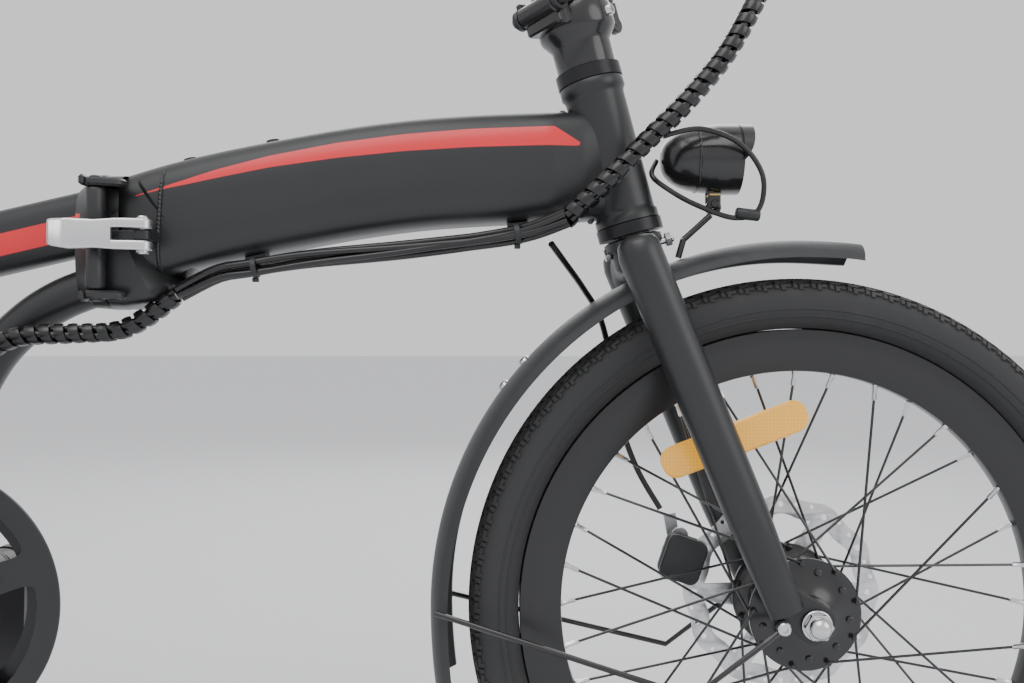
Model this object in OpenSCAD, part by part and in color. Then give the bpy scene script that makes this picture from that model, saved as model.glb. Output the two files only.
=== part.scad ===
// Folding electric bicycle, right side seen along +Y, front towards +X, floor at Z = 0.

/* [Wheels] */
// Outer radius of both tyres
tyre_r = 253; // [240:1:310]
// Width of both tyres
tyre_w = 50; // [38:1:54]
// Radius of the rim's outer edge under the tyre bead
rim_r = 215; // [190:1:222]
// Radial depth of the rim
rim_depth = 34; // [20:1:40]
// Spokes in each wheel, four to a crossing group
spoke_count = 36; // [28:4:40]
// Radius of the front hub's flanges
front_flange_r = 42; // [36:1:50]
// Radius of the brake rotors
rotor_r = 80; // [70:1:90]

/* [Frame] */
// Hinge plane to front axle
front_reach = 520; // [500:1:600]
// Bottom bracket behind the hinge plane
bb_setback = 125; // [115:1:160]
// Bottom bracket to rear axle along the floor
chainstay = 405; // [400:1:470]
// Height of the bottom bracket above the wheel axles
bb_rise = 15; // [0:1:40]
// Lean of the seat tube from vertical
seat_lean = 17; // [14:1:20]
// Depth of the main beam at the head tube
beam_d = 84; // [76:1:92]
// Width of the main beam
beam_w = 62; // [52:1:66]
// Wall of the main beam
beam_wall = 2.5; // [2:0.5:4]
// Outer diameter of the seatpost
post_d = 33.9; // [27.2:0.1:34.9]

/* [Steering] */
// Lean of the head tube from vertical
head_lean = 14.9; // [12:0.1:18]
// Front axle ahead of the steering axis
fork_offset = 48.6; // [40:0.1:56]
// Length of the head tube
head_len = 113; // [100:1:130]
// Outer diameter of the head tube
head_d = 46; // [42:1:50]
// Half the distance between the fork blades
blade_y = 55; // [54:1:60]
// Length of the handlepost above its hinge
post_len = 330; // [280:1:380]
// Overall width of the handlebar
bar_w = 560; // [480:1:640]
// Diameter of the handlebar
bar_d = 22.2; // [20:0.1:25.4]

/* [Drive] */
// Length of each crank arm
crank_len = 165; // [150:1:172]
// Teeth on the chainring
ring_teeth = 44; // [40:4:52]
// Teeth on the freewheel
free_teeth = 16; // [14:1:18]
// Outer radius of the chain guard
guard_r = 101; // [98:1:108]

/* [Hidden] */
$fn = 48;

// Colours
black = "#1c1d1f";
rubber = "#222222";
silver = "silver";

// Clearances
gap = 0.4;
run = 0.08;

// Places that the rest hangs from
fender_gap = 25;
fender_r = tyre_r + fender_gap;
fender_w = 60;
wheelbase = front_reach + bb_setback + chainstay;
front_x = (wheelbase + fender_r + 3 - tyre_r) / 2;
rear_x = front_x - wheelbase;
hinge_x = front_x - front_reach;
bb_x = rear_x + chainstay;
bb_z = tyre_r + bb_rise;
wheel_top = 2 * tyre_r;

// Frame hinge
hinge_y = 38;
hinge_z = wheel_top + 26;
plate_h = 100;
plate_w = 72;
plate_t = 12;
pin_r = 5;
knuckle_r = 9;

// Steering column, measured up the steering axis from the foot of the axle's perpendicular
crown_s = tyre_r + 37;
head_s = tyre_r + 65;
head_top_s = head_s + head_len;
fold_s = head_top_s + 57;
steerer_r = 14.3;

// Frame lever
lever_pivot = [hinge_x + 33, -50];
lever_z = hinge_z + 2;
lever_h = 23;

// Seat tube
seat_tube_r = 20.5;
seat_bore_r = post_d / 2 + run;
seat_tube_len = 300;

// Drive line
pitch = 12.7;
ring_r = pitch / (2 * sin(180 / ring_teeth));
free_r = pitch / (2 * sin(180 / free_teeth));
chain_y = -46;
bb_half = 34;
crank_y = 66;

// Fork feet, front brake and fender bolts
front_drop = 53;
drop_t = 6;
front_axle_r = 4.8;
blade_foot = [fork_offset - 18, 14];
blade_top = [-5, crown_s];
stay_eye = blade_foot - [6, 9];
stay_y = front_drop + drop_t / 2 + 2.4;
rotor_y = 38;
caliper_at = 161;
fender_bolts = [138, 143];
reflector_at = 111;
reflector_r = 139;

// Lamp
lamp_pivot = [-63, 55];
lamp_z = wheel_top + 92;

// Stem hinge and its latch
stem_hinge_out = 38;
stem_pin_out = 38;

// Handlebar, measured outwards from its bends
bar_s = fold_s + post_len;
bend_y = 60;
sweep_back = 6;
bar_out = bar_w / 2 - bend_y;
grip_len = 125;
lever_drop = 24;
perch_y = 74;
lever_x = 50;

// Rear hub and dropouts
motor_r = 58;
motor_left = 48;
motor_right = 59;
rear_rotor_y = 46;
rear_caliper_at = 82;
rear_axle_r = 6;
chainstay_out = 40;
dropout_y = 71;
dropout_t = 6;

// Seat
seat_joint = 252;
seat_top_t = 598;
clamp_out = seat_tube_r + 10;
cam_y = 18;
plate_back = hinge_x - gap - plate_t;

// Kickstand
kick_x = rear_x + 170;
kick_z = tyre_r - 12;
kick_splay = 14;
kick_foot = [32, 62, -kick_z];

// ---------- Shared shapes ----------

module at_bb() translate([bb_x, 0, bb_z]) children();
module at_hinge() translate([hinge_x, hinge_y, hinge_z]) children();

// Local frame of the steering: z runs up the steering axis, x forward
module steer() {
  translate([front_x, 0, tyre_r]) rotate([0, -head_lean, 0]) translate([-fork_offset, 0, 0]) children();
}

// Local frame of the seat tube: z runs up it from the bottom bracket
module seat_line() at_bb() rotate([0, -seat_lean, 0]) children();

// Cylinder along Y, centred on y0
module cyl_y(r, w, y0 = 0) translate([0, y0 + w / 2, 0]) rotate([90, 0, 0]) cylinder(r = r, h = w);

// Straight round bar between two points
module bar(a, b, r1, r2 = -1) {
  v = b - a;
  turn = atan2(v[1], v[0]);
  tip = atan2(norm([v[0], v[1]]), v[2]);
  translate(a) rotate([0, tip, turn]) cylinder(r1 = r1, r2 = r2 < 0 ? r1 : r2, h = norm(v));
}

// Bars through a list of points, with balls at the bends
module rod(points, r) {
  for (i = [0 : len(points) - 2]) bar(points[i], points[i + 1], r);
  if (len(points) > 2) for (i = [1 : len(points) - 2]) translate(points[i]) sphere(r = 1.04 * r, $fn = 24);
}

// Bolt head with its shank, pointing up along z
module bolt(r, head_h, shank_r, shank) {
  cylinder(r = r, h = head_h, $fn = 6);
  translate([0, 0, -shank]) cylinder(r = shank_r, h = shank + 0.01);
}

// Swept tube through points, one radius pair for each point
function unit(v) = v / norm(v);
function heading(p, i) = unit(p[min(i + 1, len(p) - 1)] - p[max(i - 1, 0)]);
function side_of(t, up) = unit(cross(up, t));
function ring_at(p, t, up, ry, rz, n, square) = [for (k = [0 : n - 1])
  let (a = 360 * k / n, s = side_of(t, up), u = cross(t, s),
       cy = sign(cos(a)) * pow(abs(cos(a)), square), cz = sign(sin(a)) * pow(abs(sin(a)), square))
  p + s * ry * cy + u * rz * cz];

module sweep(p, ry, rz, n = 8, square = 1, up = [0, 0, 1]) {
  m = len(p);
  rings = [for (i = [0 : m - 1]) ring_at(p[i], heading(p, i), up, ry[i], rz[i], n, square)];
  pts = [for (r = rings) for (q = r) q];
  sides = [for (i = [0 : m - 2]) for (k = [0 : n - 1]) let (l = (k + 1) % n)
    each [[i * n + k, (i + 1) * n + k, i * n + l], [i * n + l, (i + 1) * n + k, (i + 1) * n + l]]];
  ends = [[for (k = [0 : n - 1]) k], [for (k = [n - 1 : -1 : 0]) (m - 1) * n + k]];
  polyhedron(points = pts, faces = concat(sides, ends), convexity = 6);
}

module cable(p, r, n = 8, up = [0, 1, 0.02]) sweep(p, [for (q = p) r], [for (q = p) r], n, 1, up);

// Points of a smooth curve through the given points
function spline(p, steps) = [for (i = [0 : len(p) - 2]) for (j = [0 : steps - 1])
  let (t = j / steps, a = p[max(i - 1, 0)], b = p[i], c = p[i + 1], d = p[min(i + 2, len(p) - 1)])
  0.5 * (2 * b + (c - a) * t + (2 * a - 5 * b + 4 * c - d) * t * t + (3 * b - a - 3 * c + d) * t * t * t),
  p[len(p) - 1]];

// Curved shell over a tyre, from angle a0 to a1 counted from the front horizontal upwards
module fender_shell(a0, a1) {
  rotate([90, 0, 0]) rotate([0, 0, a0]) rotate_extrude(angle = a1 - a0, $fn = 96) fender_profile();
}
module fender_profile() {
  t = 2.4;
  half = fender_w / 2;
  polygon([
    [fender_r - 12, -half], [fender_r - 4, -half + 4], [fender_r, -half + 16], [fender_r + 1, 0],
    [fender_r, half - 16], [fender_r - 4, half - 4], [fender_r - 12, half],
    [fender_r - 12 - t, half], [fender_r - 4 - t, half - 4 - t], [fender_r - t, half - 16],
    [fender_r + 1 - t, 0], [fender_r - t, -half + 16], [fender_r - 4 - t, -half + 4 + t],
    [fender_r - 12 - t, -half]
  ]);
}

// Tyre carcass with a slightly flat crown, open towards the rim
module tyre() {
  half = tyre_w / 2;
  bead = 11;
  cyl_turn() polygon([
    [tyre_r, -7], [tyre_r, 7], [tyre_r - 4, half - 8], [tyre_r - 13, half - 1], [tyre_r - 22, half],
    [tyre_r - 31, half - 4], [rim_r, bead + 3], [rim_r - 1, bead - 1.5], [rim_r + 3, bead - 2],
    [tyre_r - 31, half - 7], [tyre_r - 22, half - 3.5], [tyre_r - 13, half - 4.5], [tyre_r - 6, 0],
    [tyre_r - 13, -half + 4.5], [tyre_r - 22, -half + 3.5], [tyre_r - 31, -half + 7],
    [rim_r + 3, -bead + 2], [rim_r - 1, -bead + 1.5], [rim_r, -bead - 3],
    [tyre_r - 31, -half + 4], [tyre_r - 22, -half], [tyre_r - 13, -half + 1], [tyre_r - 4, -half + 8]
  ]);
}

// Profile in (radius, side) turned about the Y axis
module cyl_turn() rotate([90, 0, 0]) rotate_extrude($fn = 96) children();

// Deep box-section rim with a tyre well
module rim() {
  half = 14;
  cyl_turn() difference() {
    polygon([
      [rim_r - rim_depth, -6], [rim_r - rim_depth, 6], [rim_r - 16, half - 1], [rim_r - 6, half],
      [rim_r - 1.5, half], [rim_r - 1.5, half - 4.5], [rim_r - 9, 8], [rim_r - 9, -8],
      [rim_r - 1.5, -half + 4.5], [rim_r - 1.5, -half], [rim_r - 6, -half], [rim_r - 16, -half + 1]
    ]);
    polygon([
      [rim_r - rim_depth + 2, -4.6], [rim_r - rim_depth + 2, 4.6], [rim_r - 16, half - 3],
      [rim_r - 12, half - 3.5], [rim_r - 11.5, 0], [rim_r - 12, -half + 3.5], [rim_r - 16, -half + 3]
    ]);
  }
}

// Crossed spokes between two flanges and the rim, with their nipples
module spokes(flange_r, flange_y) {
  per_side = spoke_count / 2;
  lead = 55;
  for (i = [0 : spoke_count - 1]) {
    s = i % 2 == 0 ? 1 : -1;
    k = floor(i / 2);
    cross_dir = k % 2 == 0 ? 1 : -1;
    a_rim = 360 * i / spoke_count;
    a_hub = a_rim + cross_dir * lead;
    tip = [(rim_r - rim_depth - 0.6) * cos(a_rim), s * 3, (rim_r - rim_depth - 0.6) * sin(a_rim)];
    root = [flange_r * cos(a_hub), s * flange_y + cross_dir * 2.6, flange_r * sin(a_hub)];
    bar(root, tip, 1, $fn = 6);
    translate(tip) rotate([0, 90 - a_rim, 0]) translate([0, 0, -12]) cylinder(r = 2, h = 11.9, $fn = 6);
  }
}

// Drilled brake rotor, its mouth ring and arms in one plate
module rotor() {
  t = 1.8;
  difference() {
    cyl_y(rotor_r, t);
    cyl_y(rotor_r - 16, 3 * t);
    for (a = [0 : 15 : 345]) rotate([0, a, 0]) translate([rotor_r - 8, 0, 0]) cyl_y(3, 3 * t, $fn = 13);
  }
  difference() {
    union() {
      cyl_y(24, t);
      for (a = [0 : 60 : 300]) rotate([0, a, 0]) translate([22, -t / 2, -5]) cube([rotor_r - 34, t, 10]);
    }
    cyl_y(17, 3 * t);
  }
}
// ---------- Front frame ----------

// Centre line of the beam as [behind front axle, above wheel top, half depth, share of the width]
beam_line = [
  [-front_reach + plate_t, 36, 41, 1], [-470, 47, 41.5, 1], [-430, 56, 42, 1], [-390, 64, 42, 1],
  [-340, 73, 42, 1], [-290, 79.5, 42, 1], [-240, 83, 42, 1], [-190, 85, 42, 0.97],
  [-165, 85.6, 41.5, 0.8], [-146, 86, 41, 0.6]
];
beam_pts = [for (p = beam_line) [front_x + p[0], 0, wheel_top + p[1]]];

module beam_solid(inset) {
  sweep(beam_pts, [for (p = beam_line) beam_w / 2 * p[3] - inset],
    [for (p = beam_line) p[2] * beam_d / 84 - inset], 20, 0.62);
}

// Half of the hinge casting, its outline seen along X
module hinge_plate(t) {
  rotate([90, 0, 90]) linear_extrude(t) hull() for (y = [-1, 1], z = [-1, 1])
    translate([y * (plate_w / 2 - 16) - 3, z * (plate_h / 2 - 16)]) circle(r = 16, $fn = 32);
}

module front_frame() color(black) {
  difference() {
    union() {
      difference() {
        beam_solid(0);
        beam_solid(beam_wall);
      }
      steer() translate([0, 0, head_s]) cylinder(r = head_d / 2, h = head_len);
      translate([hinge_x, 0, hinge_z]) hinge_plate(plate_t);
      at_hinge() for (z = [-40, 18]) {
        translate([0, 0, z]) cylinder(r = knuckle_r, h = 22);
        translate([0.2, -14, z]) cube([plate_t - 0.2, 14, 22]);
      }
      // Ears that hold the clamp barrel
      for (z = [-44, 38]) translate([hinge_x, 0, hinge_z + z]) {
        translate([-9, -57, 0]) cube([9 + plate_t, 16.5, 6]);
        translate([gap, -57, 0]) cube([plate_t - gap, 24, 6]);
      }
      // Lug of the lever pivot
      translate([lever_pivot[0] - 6, lever_pivot[1] - 6, lever_z - 4]) cube([12, 24, 8]);
      translate([hinge_x + 6, lever_pivot[1] - 4, lever_z - 3.5]) cube([24, 8, 7]);
    }
    steer() translate([0, 0, head_s - 1]) cylinder(r = head_d / 2 - 4, h = head_len + 2);
    at_hinge() translate([0, 0, -50]) cylinder(r = pin_r, h = 100);
    at_hinge() translate([-20, -14, -18]) cube([20 + knuckle_r + 1, 14 + knuckle_r + 1, 36]);
    at_hinge() translate([-20, -14, 41]) cube([20, 40, 20]);
    translate([lever_pivot[0], lever_pivot[1], lever_z - 10]) cylinder(r = 3 + run, h = 20);
    for (z = [-44, 38]) translate([hinge_x - 2, -48, hinge_z + z - 1]) cylinder(r = 3, h = 8);
    for (x = [-468, -404]) boss_at(x) translate([0, 0, -6]) cylinder(r = 2.6, h = 12);
  }
  // Clamp barrel on its trunnions between the ears
  translate([hinge_x - 2, -48, hinge_z]) {
    cylinder(r = 7, h = 75, center = true);
    cylinder(r = 3 - run, h = 88, center = true);
  }
}

// Place on the beam's top at x behind the front axle, turned square to it
function beam_top(x) = wheel_top + lookup(x, [for (p = beam_line) [p[0], p[1] + p[2]]]);
function beam_low(x) = wheel_top + lookup(x, [for (p = beam_line) [p[0], p[1] - p[2]]]);
module boss_at(x) {
  slope = atan((beam_top(x + 10) - beam_top(x - 10)) / 20);
  translate([front_x + x, 0, beam_top(x)]) rotate([0, -slope, 0]) children();
}

module headset_cups() color("dimgray") steer() {
  difference() {
    union() {
      translate([0, 0, head_s - 9]) cylinder(r = head_d / 2 + 2.5, h = 9);
      translate([0, 0, head_s]) cylinder(r = head_d / 2 - 4, h = 12);
    }
    translate([0, 0, head_s - 10]) cylinder(r = steerer_r + run, h = 24);
  }
  difference() {
    union() {
      translate([0, 0, head_top_s]) cylinder(r = head_d / 2 + 2.5, h = 10);
      translate([0, 0, head_top_s - 12]) cylinder(r = head_d / 2 - 4, h = 12);
    }
    translate([0, 0, head_top_s - 13]) cylinder(r = steerer_r + run, h = 24);
  }
}

module battery_pack() color("steelblue") {
  translate([front_x - 285, 0, wheel_top + 79]) rotate([0, -6, 0])
    translate([-100, -21, -27]) cube([200, 42, 54]);
}

module beam_fittings() color(rubber) {
  for (x = [-468, -404]) boss_at(x) {
    cylinder(r = 5, h = 4, $fn = 24);
    translate([0, 0, -5]) cylinder(r = 2.5, h = 5.01);
  }
  for (x = [-415, -215]) translate([front_x + x, 0, beam_low(x)]) rotate([0, x < -300 ? -13 : -8, 0])
    translate([-8, -14, -12.3]) cube([16, 13, 12]);
}

// Cable run under the beam, from the hinge to the front loom
under_beam = [
  [-470, -20, -12], [-440, -23, 2], [-415, -25, 6], [-370, -25, 13], [-300, -24, 20],
  [-235, -25, 28], [-205, -33, 33], [-178, -42, 42]
];
module beam_cables() color(rubber) {
  cable([for (p = under_beam) [front_x + p[0], p[1], wheel_top + p[2]]], 8);
}

// Spiral loom from the beam past the head tube up to the bar, and the two cables that leave it
loom_path = [
  [-177.8, -42.2, 42.3], [-150, -46, 68], [-120, -44, 98], [-90, -42, 128], [-60, -40, 165],
  [-35, -36, 210], [-20, -30, 260], [-22, -22, 320], [-50, -14, 380], [-100, -8, 440],
  [-160, -6, 480], [-205, -6, 505]
];
brake_path = [
  [-190, -35, 23.5], [-178, -16, 10], [-162, 14, -8], [-147, 38, -30], [-136, 52, -70],
  [-130, 62, -110], [-114, 68, -155], [-94, 66, -190]
];
lamp_path = [
  [-108, -40, 102], [-80, -38, 108], [-50, -34, 98], [-32, -30, 75], [-34, -26, 50], [-52, -24, 44],
  [-80, -22, 54], [-100, -18, 66], [-112, -12, 78], [-107, 0, 91]
];
function bike(p) = [for (q = p) [front_x + q[0], q[1], wheel_top + q[2]]];
module front_cables() color(rubber) {
  cable(spline(bike(loom_path), 2), 8);
  cable(spline(bike(brake_path), 2), 2.5, 8);
  cable(spline(bike(lamp_path), 2), 2, 8);
}

// ---------- Frame lever ----------

module frame_lever() color(silver) {
  // Lever arm bowed over the barrel, its tip bent outwards
  p = lever_pivot;
  difference() {
    translate([p[0], p[1], lever_z - lever_h / 2]) {
      cylinder(r = 7, h = lever_h);
      linear_extrude(lever_h) polygon([
        [0, -6.5], [-10, -12], [-28, -13.4], [-42, -14.4], [-51, -18], [-57, -25.5],
        [-60, -23.5], [-54, -15], [-44, -10.4], [-28, -9.4], [-10, -8], [-6.5, 0]
      ]);
    }
    translate([p[0] - 18, p[1] - 20, lever_z - 4 - gap]) cube([38, 40, 8 + 2 * gap]);
    translate([p[0], p[1], lever_z - 30]) cylinder(r = 3 - run, h = 60);
  }
  translate([p[0], p[1], lever_z - lever_h / 2 - 2]) cylinder(r = 3 - run, h = lever_h + 4);
  translate([p[0], p[1], lever_z + lever_h / 2]) cylinder(r = 5, h = 2.5);
  translate([p[0], p[1], lever_z - lever_h / 2 - 2.5]) cylinder(r = 5, h = 2.5);
}

// ---------- Fork and what rides on it ----------

// Flat plate in the XZ plane: two round ends joined by their tangents
module link2d(a, b, ra, rb) {
  d = norm(b - a);
  turn = atan2(b[1] - a[1], b[0] - a[0]);
  open = acos((ra - rb) / d);
  translate(a) circle(r = ra);
  translate(b) circle(r = rb);
  polygon([
    a + ra * [cos(turn + open), sin(turn + open)], b + rb * [cos(turn + open), sin(turn + open)],
    b + rb * [cos(turn - open), sin(turn - open)], a + ra * [cos(turn - open), sin(turn - open)]
  ]);
}
module plate_y(t, y0 = 0) translate([0, y0 + t / 2, 0]) rotate([90, 0, 0]) linear_extrude(t) children();

// Place in the bike of a point [forward, up] of the steering's local frame
function steer_pt(p) = [
  front_x + (p[0] - fork_offset) * cos(head_lean) - p[1] * sin(head_lean),
  tyre_r + (p[0] - fork_offset) * sin(head_lean) + p[1] * cos(head_lean)];

module fork() color(black) steer() {
  difference() {
    union() {
      translate([0, 0, crown_s - 6]) cylinder(r = 19, h = head_s - 10 - crown_s + 6);
      translate([-5, 0, crown_s]) cyl_y(13, 2 * blade_y);
      translate([0, 0, crown_s]) cylinder(r = steerer_r, h = fold_s - 26 - crown_s);
    }
    translate([-40, 0, crown_s + 9]) rotate([0, 90, 0]) cylinder(r = 3 + run, h = 80);
    translate([0, 0, crown_s + 16]) cylinder(r = 11, h = fold_s);
  }
  for (s = [-1, 1]) {
    difference() {
      union() {
        bar([blade_top[0], s * blade_y, blade_top[1]], [blade_foot[0], s * (blade_y + 1), blade_foot[1]], 16.5, 14);
        translate([blade_top[0], s * blade_y, blade_top[1]]) sphere(r = 16.5);
        plate_y(drop_t, s * front_drop) link2d([fork_offset, 0], blade_foot + [-1, 12], 15, 13);
        plate_y(drop_t, s * front_drop) link2d(stay_eye, blade_foot + [-1, 12], 7, 9);
      }
      translate([fork_offset, 0, 0]) cyl_y(front_axle_r + 0.2, 200);
      translate([stay_eye[0], 0, stay_eye[1]]) cyl_y(2.6, 200);
    }
  }
}

module stem_base() color("#303234") steer() {
  difference() {
    union() {
      translate([0, 0, head_top_s + 10 + gap]) cylinder(r = head_d / 2, h = fold_s - 24 - head_top_s - 10);
      translate([0, 0, fold_s - 26]) cylinder(r1 = head_d / 2 + 1, r2 = 30, h = 8);
      translate([0, 0, fold_s - 18]) cylinder(r = 30, h = 18 - gap / 2);
      rotate([0, 0, 225]) translate([0, -17, fold_s - 16]) cube([stem_hinge_out, 34, 16 - gap / 2]);
      rotate([0, 0, 225]) translate([stem_hinge_out, 0, fold_s]) cyl_y(8, 34);
      rotate([0, 0, 45]) translate([26, -5, fold_s - 17]) cube([stem_pin_out - 22, 10, 10]);
    }
    translate([0, 0, head_top_s]) cylinder(r = steerer_r + run, h = fold_s - 25.9 - head_top_s);
    translate([0, 0, fold_s - 27]) cylinder(r = 12, h = 40);
    rotate([0, 0, 225]) translate([stem_hinge_out, 0, fold_s]) cyl_y(3 + run, 60);
    rotate([0, 0, 45]) translate([stem_pin_out, 0, fold_s - 12]) cyl_y(2.5 + run, 30);
  }
}

module front_fender() color(black) translate([front_x, 0, tyre_r]) difference() {
  fender_shell(80, 192);
  for (a = fender_bolts) rotate([0, -a, 0]) translate([fender_r - 20, 0, 0]) rotate([0, 90, 0])
    cylinder(r = 2.6, h = 40);
}

module front_fender_stays() color("#333333") {
  eye = steer_pt(stay_eye);
  for (s = [-1, 1]) difference() {
    union() {
      cable([[eye[0] - 3, s * stay_y, eye[1] - 3], [eye[0] - 14, s * (stay_y + 4), eye[1] - 10],
        [front_x - 90, s * 62, tyre_r - 50], [front_x - 276, s * 33, tyre_r + 2]], 2.2, 12);
      translate([eye[0], 0, eye[1]]) cyl_y(5.5, 4, s * stay_y);
    }
    translate([eye[0], 0, eye[1]]) cyl_y(2.6, 200);
  }
}

module front_axle() color(silver) translate([front_x, 0, tyre_r]) {
  cyl_y(front_axle_r, 142);
  for (s = [-1, 1]) {
    cyl_y(8, 3.4, s * (front_drop - drop_t / 2 - 1.9));
    cyl_y(11, 2, s * (front_drop + drop_t / 2 + 1.2));
    cyl_y(9.5, 9, s * (front_drop + drop_t / 2 + 6.7), $fn = 6);
    translate([0, s * (front_drop + drop_t / 2 + 11), 0]) sphere(r = 8.4);
  }
}

// Mechanical caliper that straddles the rotor's rim, given its angle and the rotor's side
module caliper_body(angle, y) {
  rotate([0, -angle, 0]) difference() {
    union() {
      translate([rotor_r - 12, y - 11, -20]) cube([34, 26, 40]);
      translate([rotor_r + 6, y + 14, 0]) cyl_y(15, 8, 4);
    }
    translate([0, y - 2, -40]) cube([rotor_r + 4, 4, 80]);
  }
}

module front_caliper() color("gray") translate([front_x, 0, tyre_r]) {
  caliper_body(caliper_at, rotor_y);
  // Bracket up to the blade's rear edge
  rotate([0, -caliper_at, 0]) translate([rotor_r - 24, rotor_y + 4, -34]) cube([40, 5, 14.1]);
}

module front_brake_arm() color("dimgray") translate([front_x, 0, tyre_r]) {
  rotate([0, -caliper_at, 0]) translate([rotor_r + 6, 0, 0]) {
    cyl_y(9, 4, rotor_y + 24.5);
    rotate([0, 61, 0]) translate([0, rotor_y + 22.5, -5]) cube([32, 4, 10]);
  }
}

// Lamp bracket bent up from the crown bolt
module headlight_bracket() color(black) {
  rod([[front_x - 90, 0, wheel_top + 16], [front_x - 86, 0, wheel_top + 30],
    [front_x + lamp_pivot[0] - 2, 0, wheel_top + lamp_pivot[1] - 6]], 2.5);
  translate([front_x + lamp_pivot[0], 0, wheel_top + lamp_pivot[1]]) difference() {
    cyl_y(6, 5);
    cyl_y(2.5, 20);
  }
}

module fork_fasteners() color(silver) {
  // Crown bolt through the lamp bracket
  steer() translate([24.2, 0, crown_s + 9]) rotate([0, 90, 0]) bolt(6, 5, 3, 20);
  steer() translate([-19.1, 0, crown_s + 9]) rotate([0, -90, 0]) bolt(5, 5, 2.5, 8);
  // Stay bolts in the dropout eyelets
  for (s = [-1, 1]) steer() translate([stay_eye[0], s * (stay_y + 2.2), stay_eye[1]]) rotate([-s * 90, 0, 0])
    bolt(5, 3.5, 2.5, 10);
  // Fender strap bolts
  for (a = fender_bolts) translate([front_x, 0, tyre_r]) rotate([0, -a, 0])
    translate([fender_r + 1.2, 0, 0]) rotate([0, 90, 0]) bolt(6, 4, 2.5, 8);
}

// Shell opens forward, its axis along X through the lamp's centre
module headlight_shell() color("#2b2d2f") translate([front_x - 104, 0, lamp_z]) {
  rotate([90, 0, 90]) rotate_extrude() polygon([
    [0, 0], [9, 1], [16, 6], [21, 14], [25, 28], [27, 46], [27, 69], [25.2, 69], [25, 46], [23, 28],
    [19, 15], [14, 8], [8, 3], [0, 2.2]
  ]);
  difference() {
    translate([36, 4, -38]) cube([10, 3, 14.5]);
    translate([41, 0, -37]) cyl_y(2.5, 60);
  }
  difference() {
    translate([36, -7, -38]) cube([10, 3, 14.5]);
    translate([41, 0, -37]) cyl_y(2.5, 60);
  }
  translate([41, 0, -37]) cyl_y(2.4, 16);
}
module headlight_lens() color("white") translate([front_x - 104, 0, lamp_z]) {
  rotate([90, 0, 90]) translate([0, 0, 52]) cylinder(r = 24.6, h = 4);
}

// ---------- Wheels ----------

module front_tyre() color(rubber) translate([front_x, 0, tyre_r]) tyre();
module rear_tyre() color(rubber) translate([rear_x, 0, tyre_r]) tyre();
module front_rim() color(black) translate([front_x, 0, tyre_r]) rim();
module rear_rim() color(black) translate([rear_x, 0, tyre_r]) rim();
module front_spokes() color("dimgray") translate([front_x, 0, tyre_r]) {
  spokes(front_flange_r - 3, 28);
  // Reflector clipped outside the right spokes
  rotate([0, -reflector_at, 0]) translate([reflector_r - 12.5, -18.2, -59]) cube([25, 5, 118]);
}
module rear_spokes() color("dimgray") translate([rear_x, 0, tyre_r]) spokes(motor_r + 3, 24);
module front_rotor() color(silver) translate([front_x, rotor_y, tyre_r]) rotor();
module rear_rotor() color(silver) translate([rear_x, rear_rotor_y, tyre_r]) rotor();

module front_hub() color(black) translate([front_x, 0, tyre_r]) difference() {
  union() {
    cyl_y(17, 92);
    for (s = [-1, 1]) cyl_y(front_flange_r, 4, s * 28);
    for (s = [-1, 1]) cyl_y(front_flange_r - 9, 12, s * 24);
    cyl_y(29, rotor_y - 0.9 - 28, (rotor_y - 0.9 + 28) / 2);
  }
  cyl_y(front_axle_r + run, 200);
}

module hub_motor() color(black) translate([rear_x, 0, tyre_r]) difference() {
  union() {
    cyl_y(motor_r, 62, -1);
    for (s = [-1, 1]) cyl_y(motor_r + 7, 4, s * 24);
    cyl_y(40, 76, -1);
    cyl_y(29, 10, 40);
    cyl_y(16.9, 16, 40);
    cyl_y(16, 26, -46);
  }
  cyl_y(rear_axle_r + run, 300);
}

module freewheel() color("gray") translate([rear_x, 0, tyre_r]) difference() {
  union() {
    cyl_y(free_r - 6, 14, chain_y);
    cog(free_teeth, free_r, 2.8, chain_y);
  }
  cyl_y(16 + run, 100, chain_y);
}

// Toothed disc for a roller chain, a tooth gap on the +X axis
module cog(teeth, r, t, y) {
  step = 360 / teeth;
  plate_y(t, y) polygon([for (i = [0 : teeth - 1]) each [
    [(r - 4.1) * cos(step * i - step * 0.12), (r - 4.1) * sin(step * i - step * 0.12)],
    [(r - 4.1) * cos(step * i + step * 0.12), (r - 4.1) * sin(step * i + step * 0.12)],
    [r * cos(step * (i + 0.36)), r * sin(step * (i + 0.36))],
    [(r + 3.2) * cos(step * (i + 0.46)), (r + 3.2) * sin(step * (i + 0.46))],
    [(r + 3.2) * cos(step * (i + 0.54)), (r + 3.2) * sin(step * (i + 0.54))],
    [r * cos(step * (i + 0.64)), r * sin(step * (i + 0.64))]
  ]]);
}

// ---------- Drive ----------

module bb_cartridge() color("dimgray") at_bb() difference() {
  union() {
    cyl_y(17.4, 2 * bb_half);
    for (s = [-1, 1]) cyl_y(20, 3, s * (bb_half + 1.5));
  }
  cyl_y(8.5 + run, 100);
}

module crank_axles() color("gray") at_bb() {
  cyl_y(8.5, 2 * crank_y + 8);
  translate([0, 0, -crank_len]) cyl_y(5, 108, crank_y + 50);
  translate([0, 0, crank_len]) cyl_y(5, 108, -crank_y - 50);
}

// Open ring wheel with five arms, used by the chainring's spider and the guard
module five_arms(r_in, r_out, w, t, y) {
  for (a = [90 : 72 : 378]) rotate([0, -a, 0]) translate([r_in, y - t / 2, -w / 2]) cube([r_out - r_in, t, w]);
}

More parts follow.
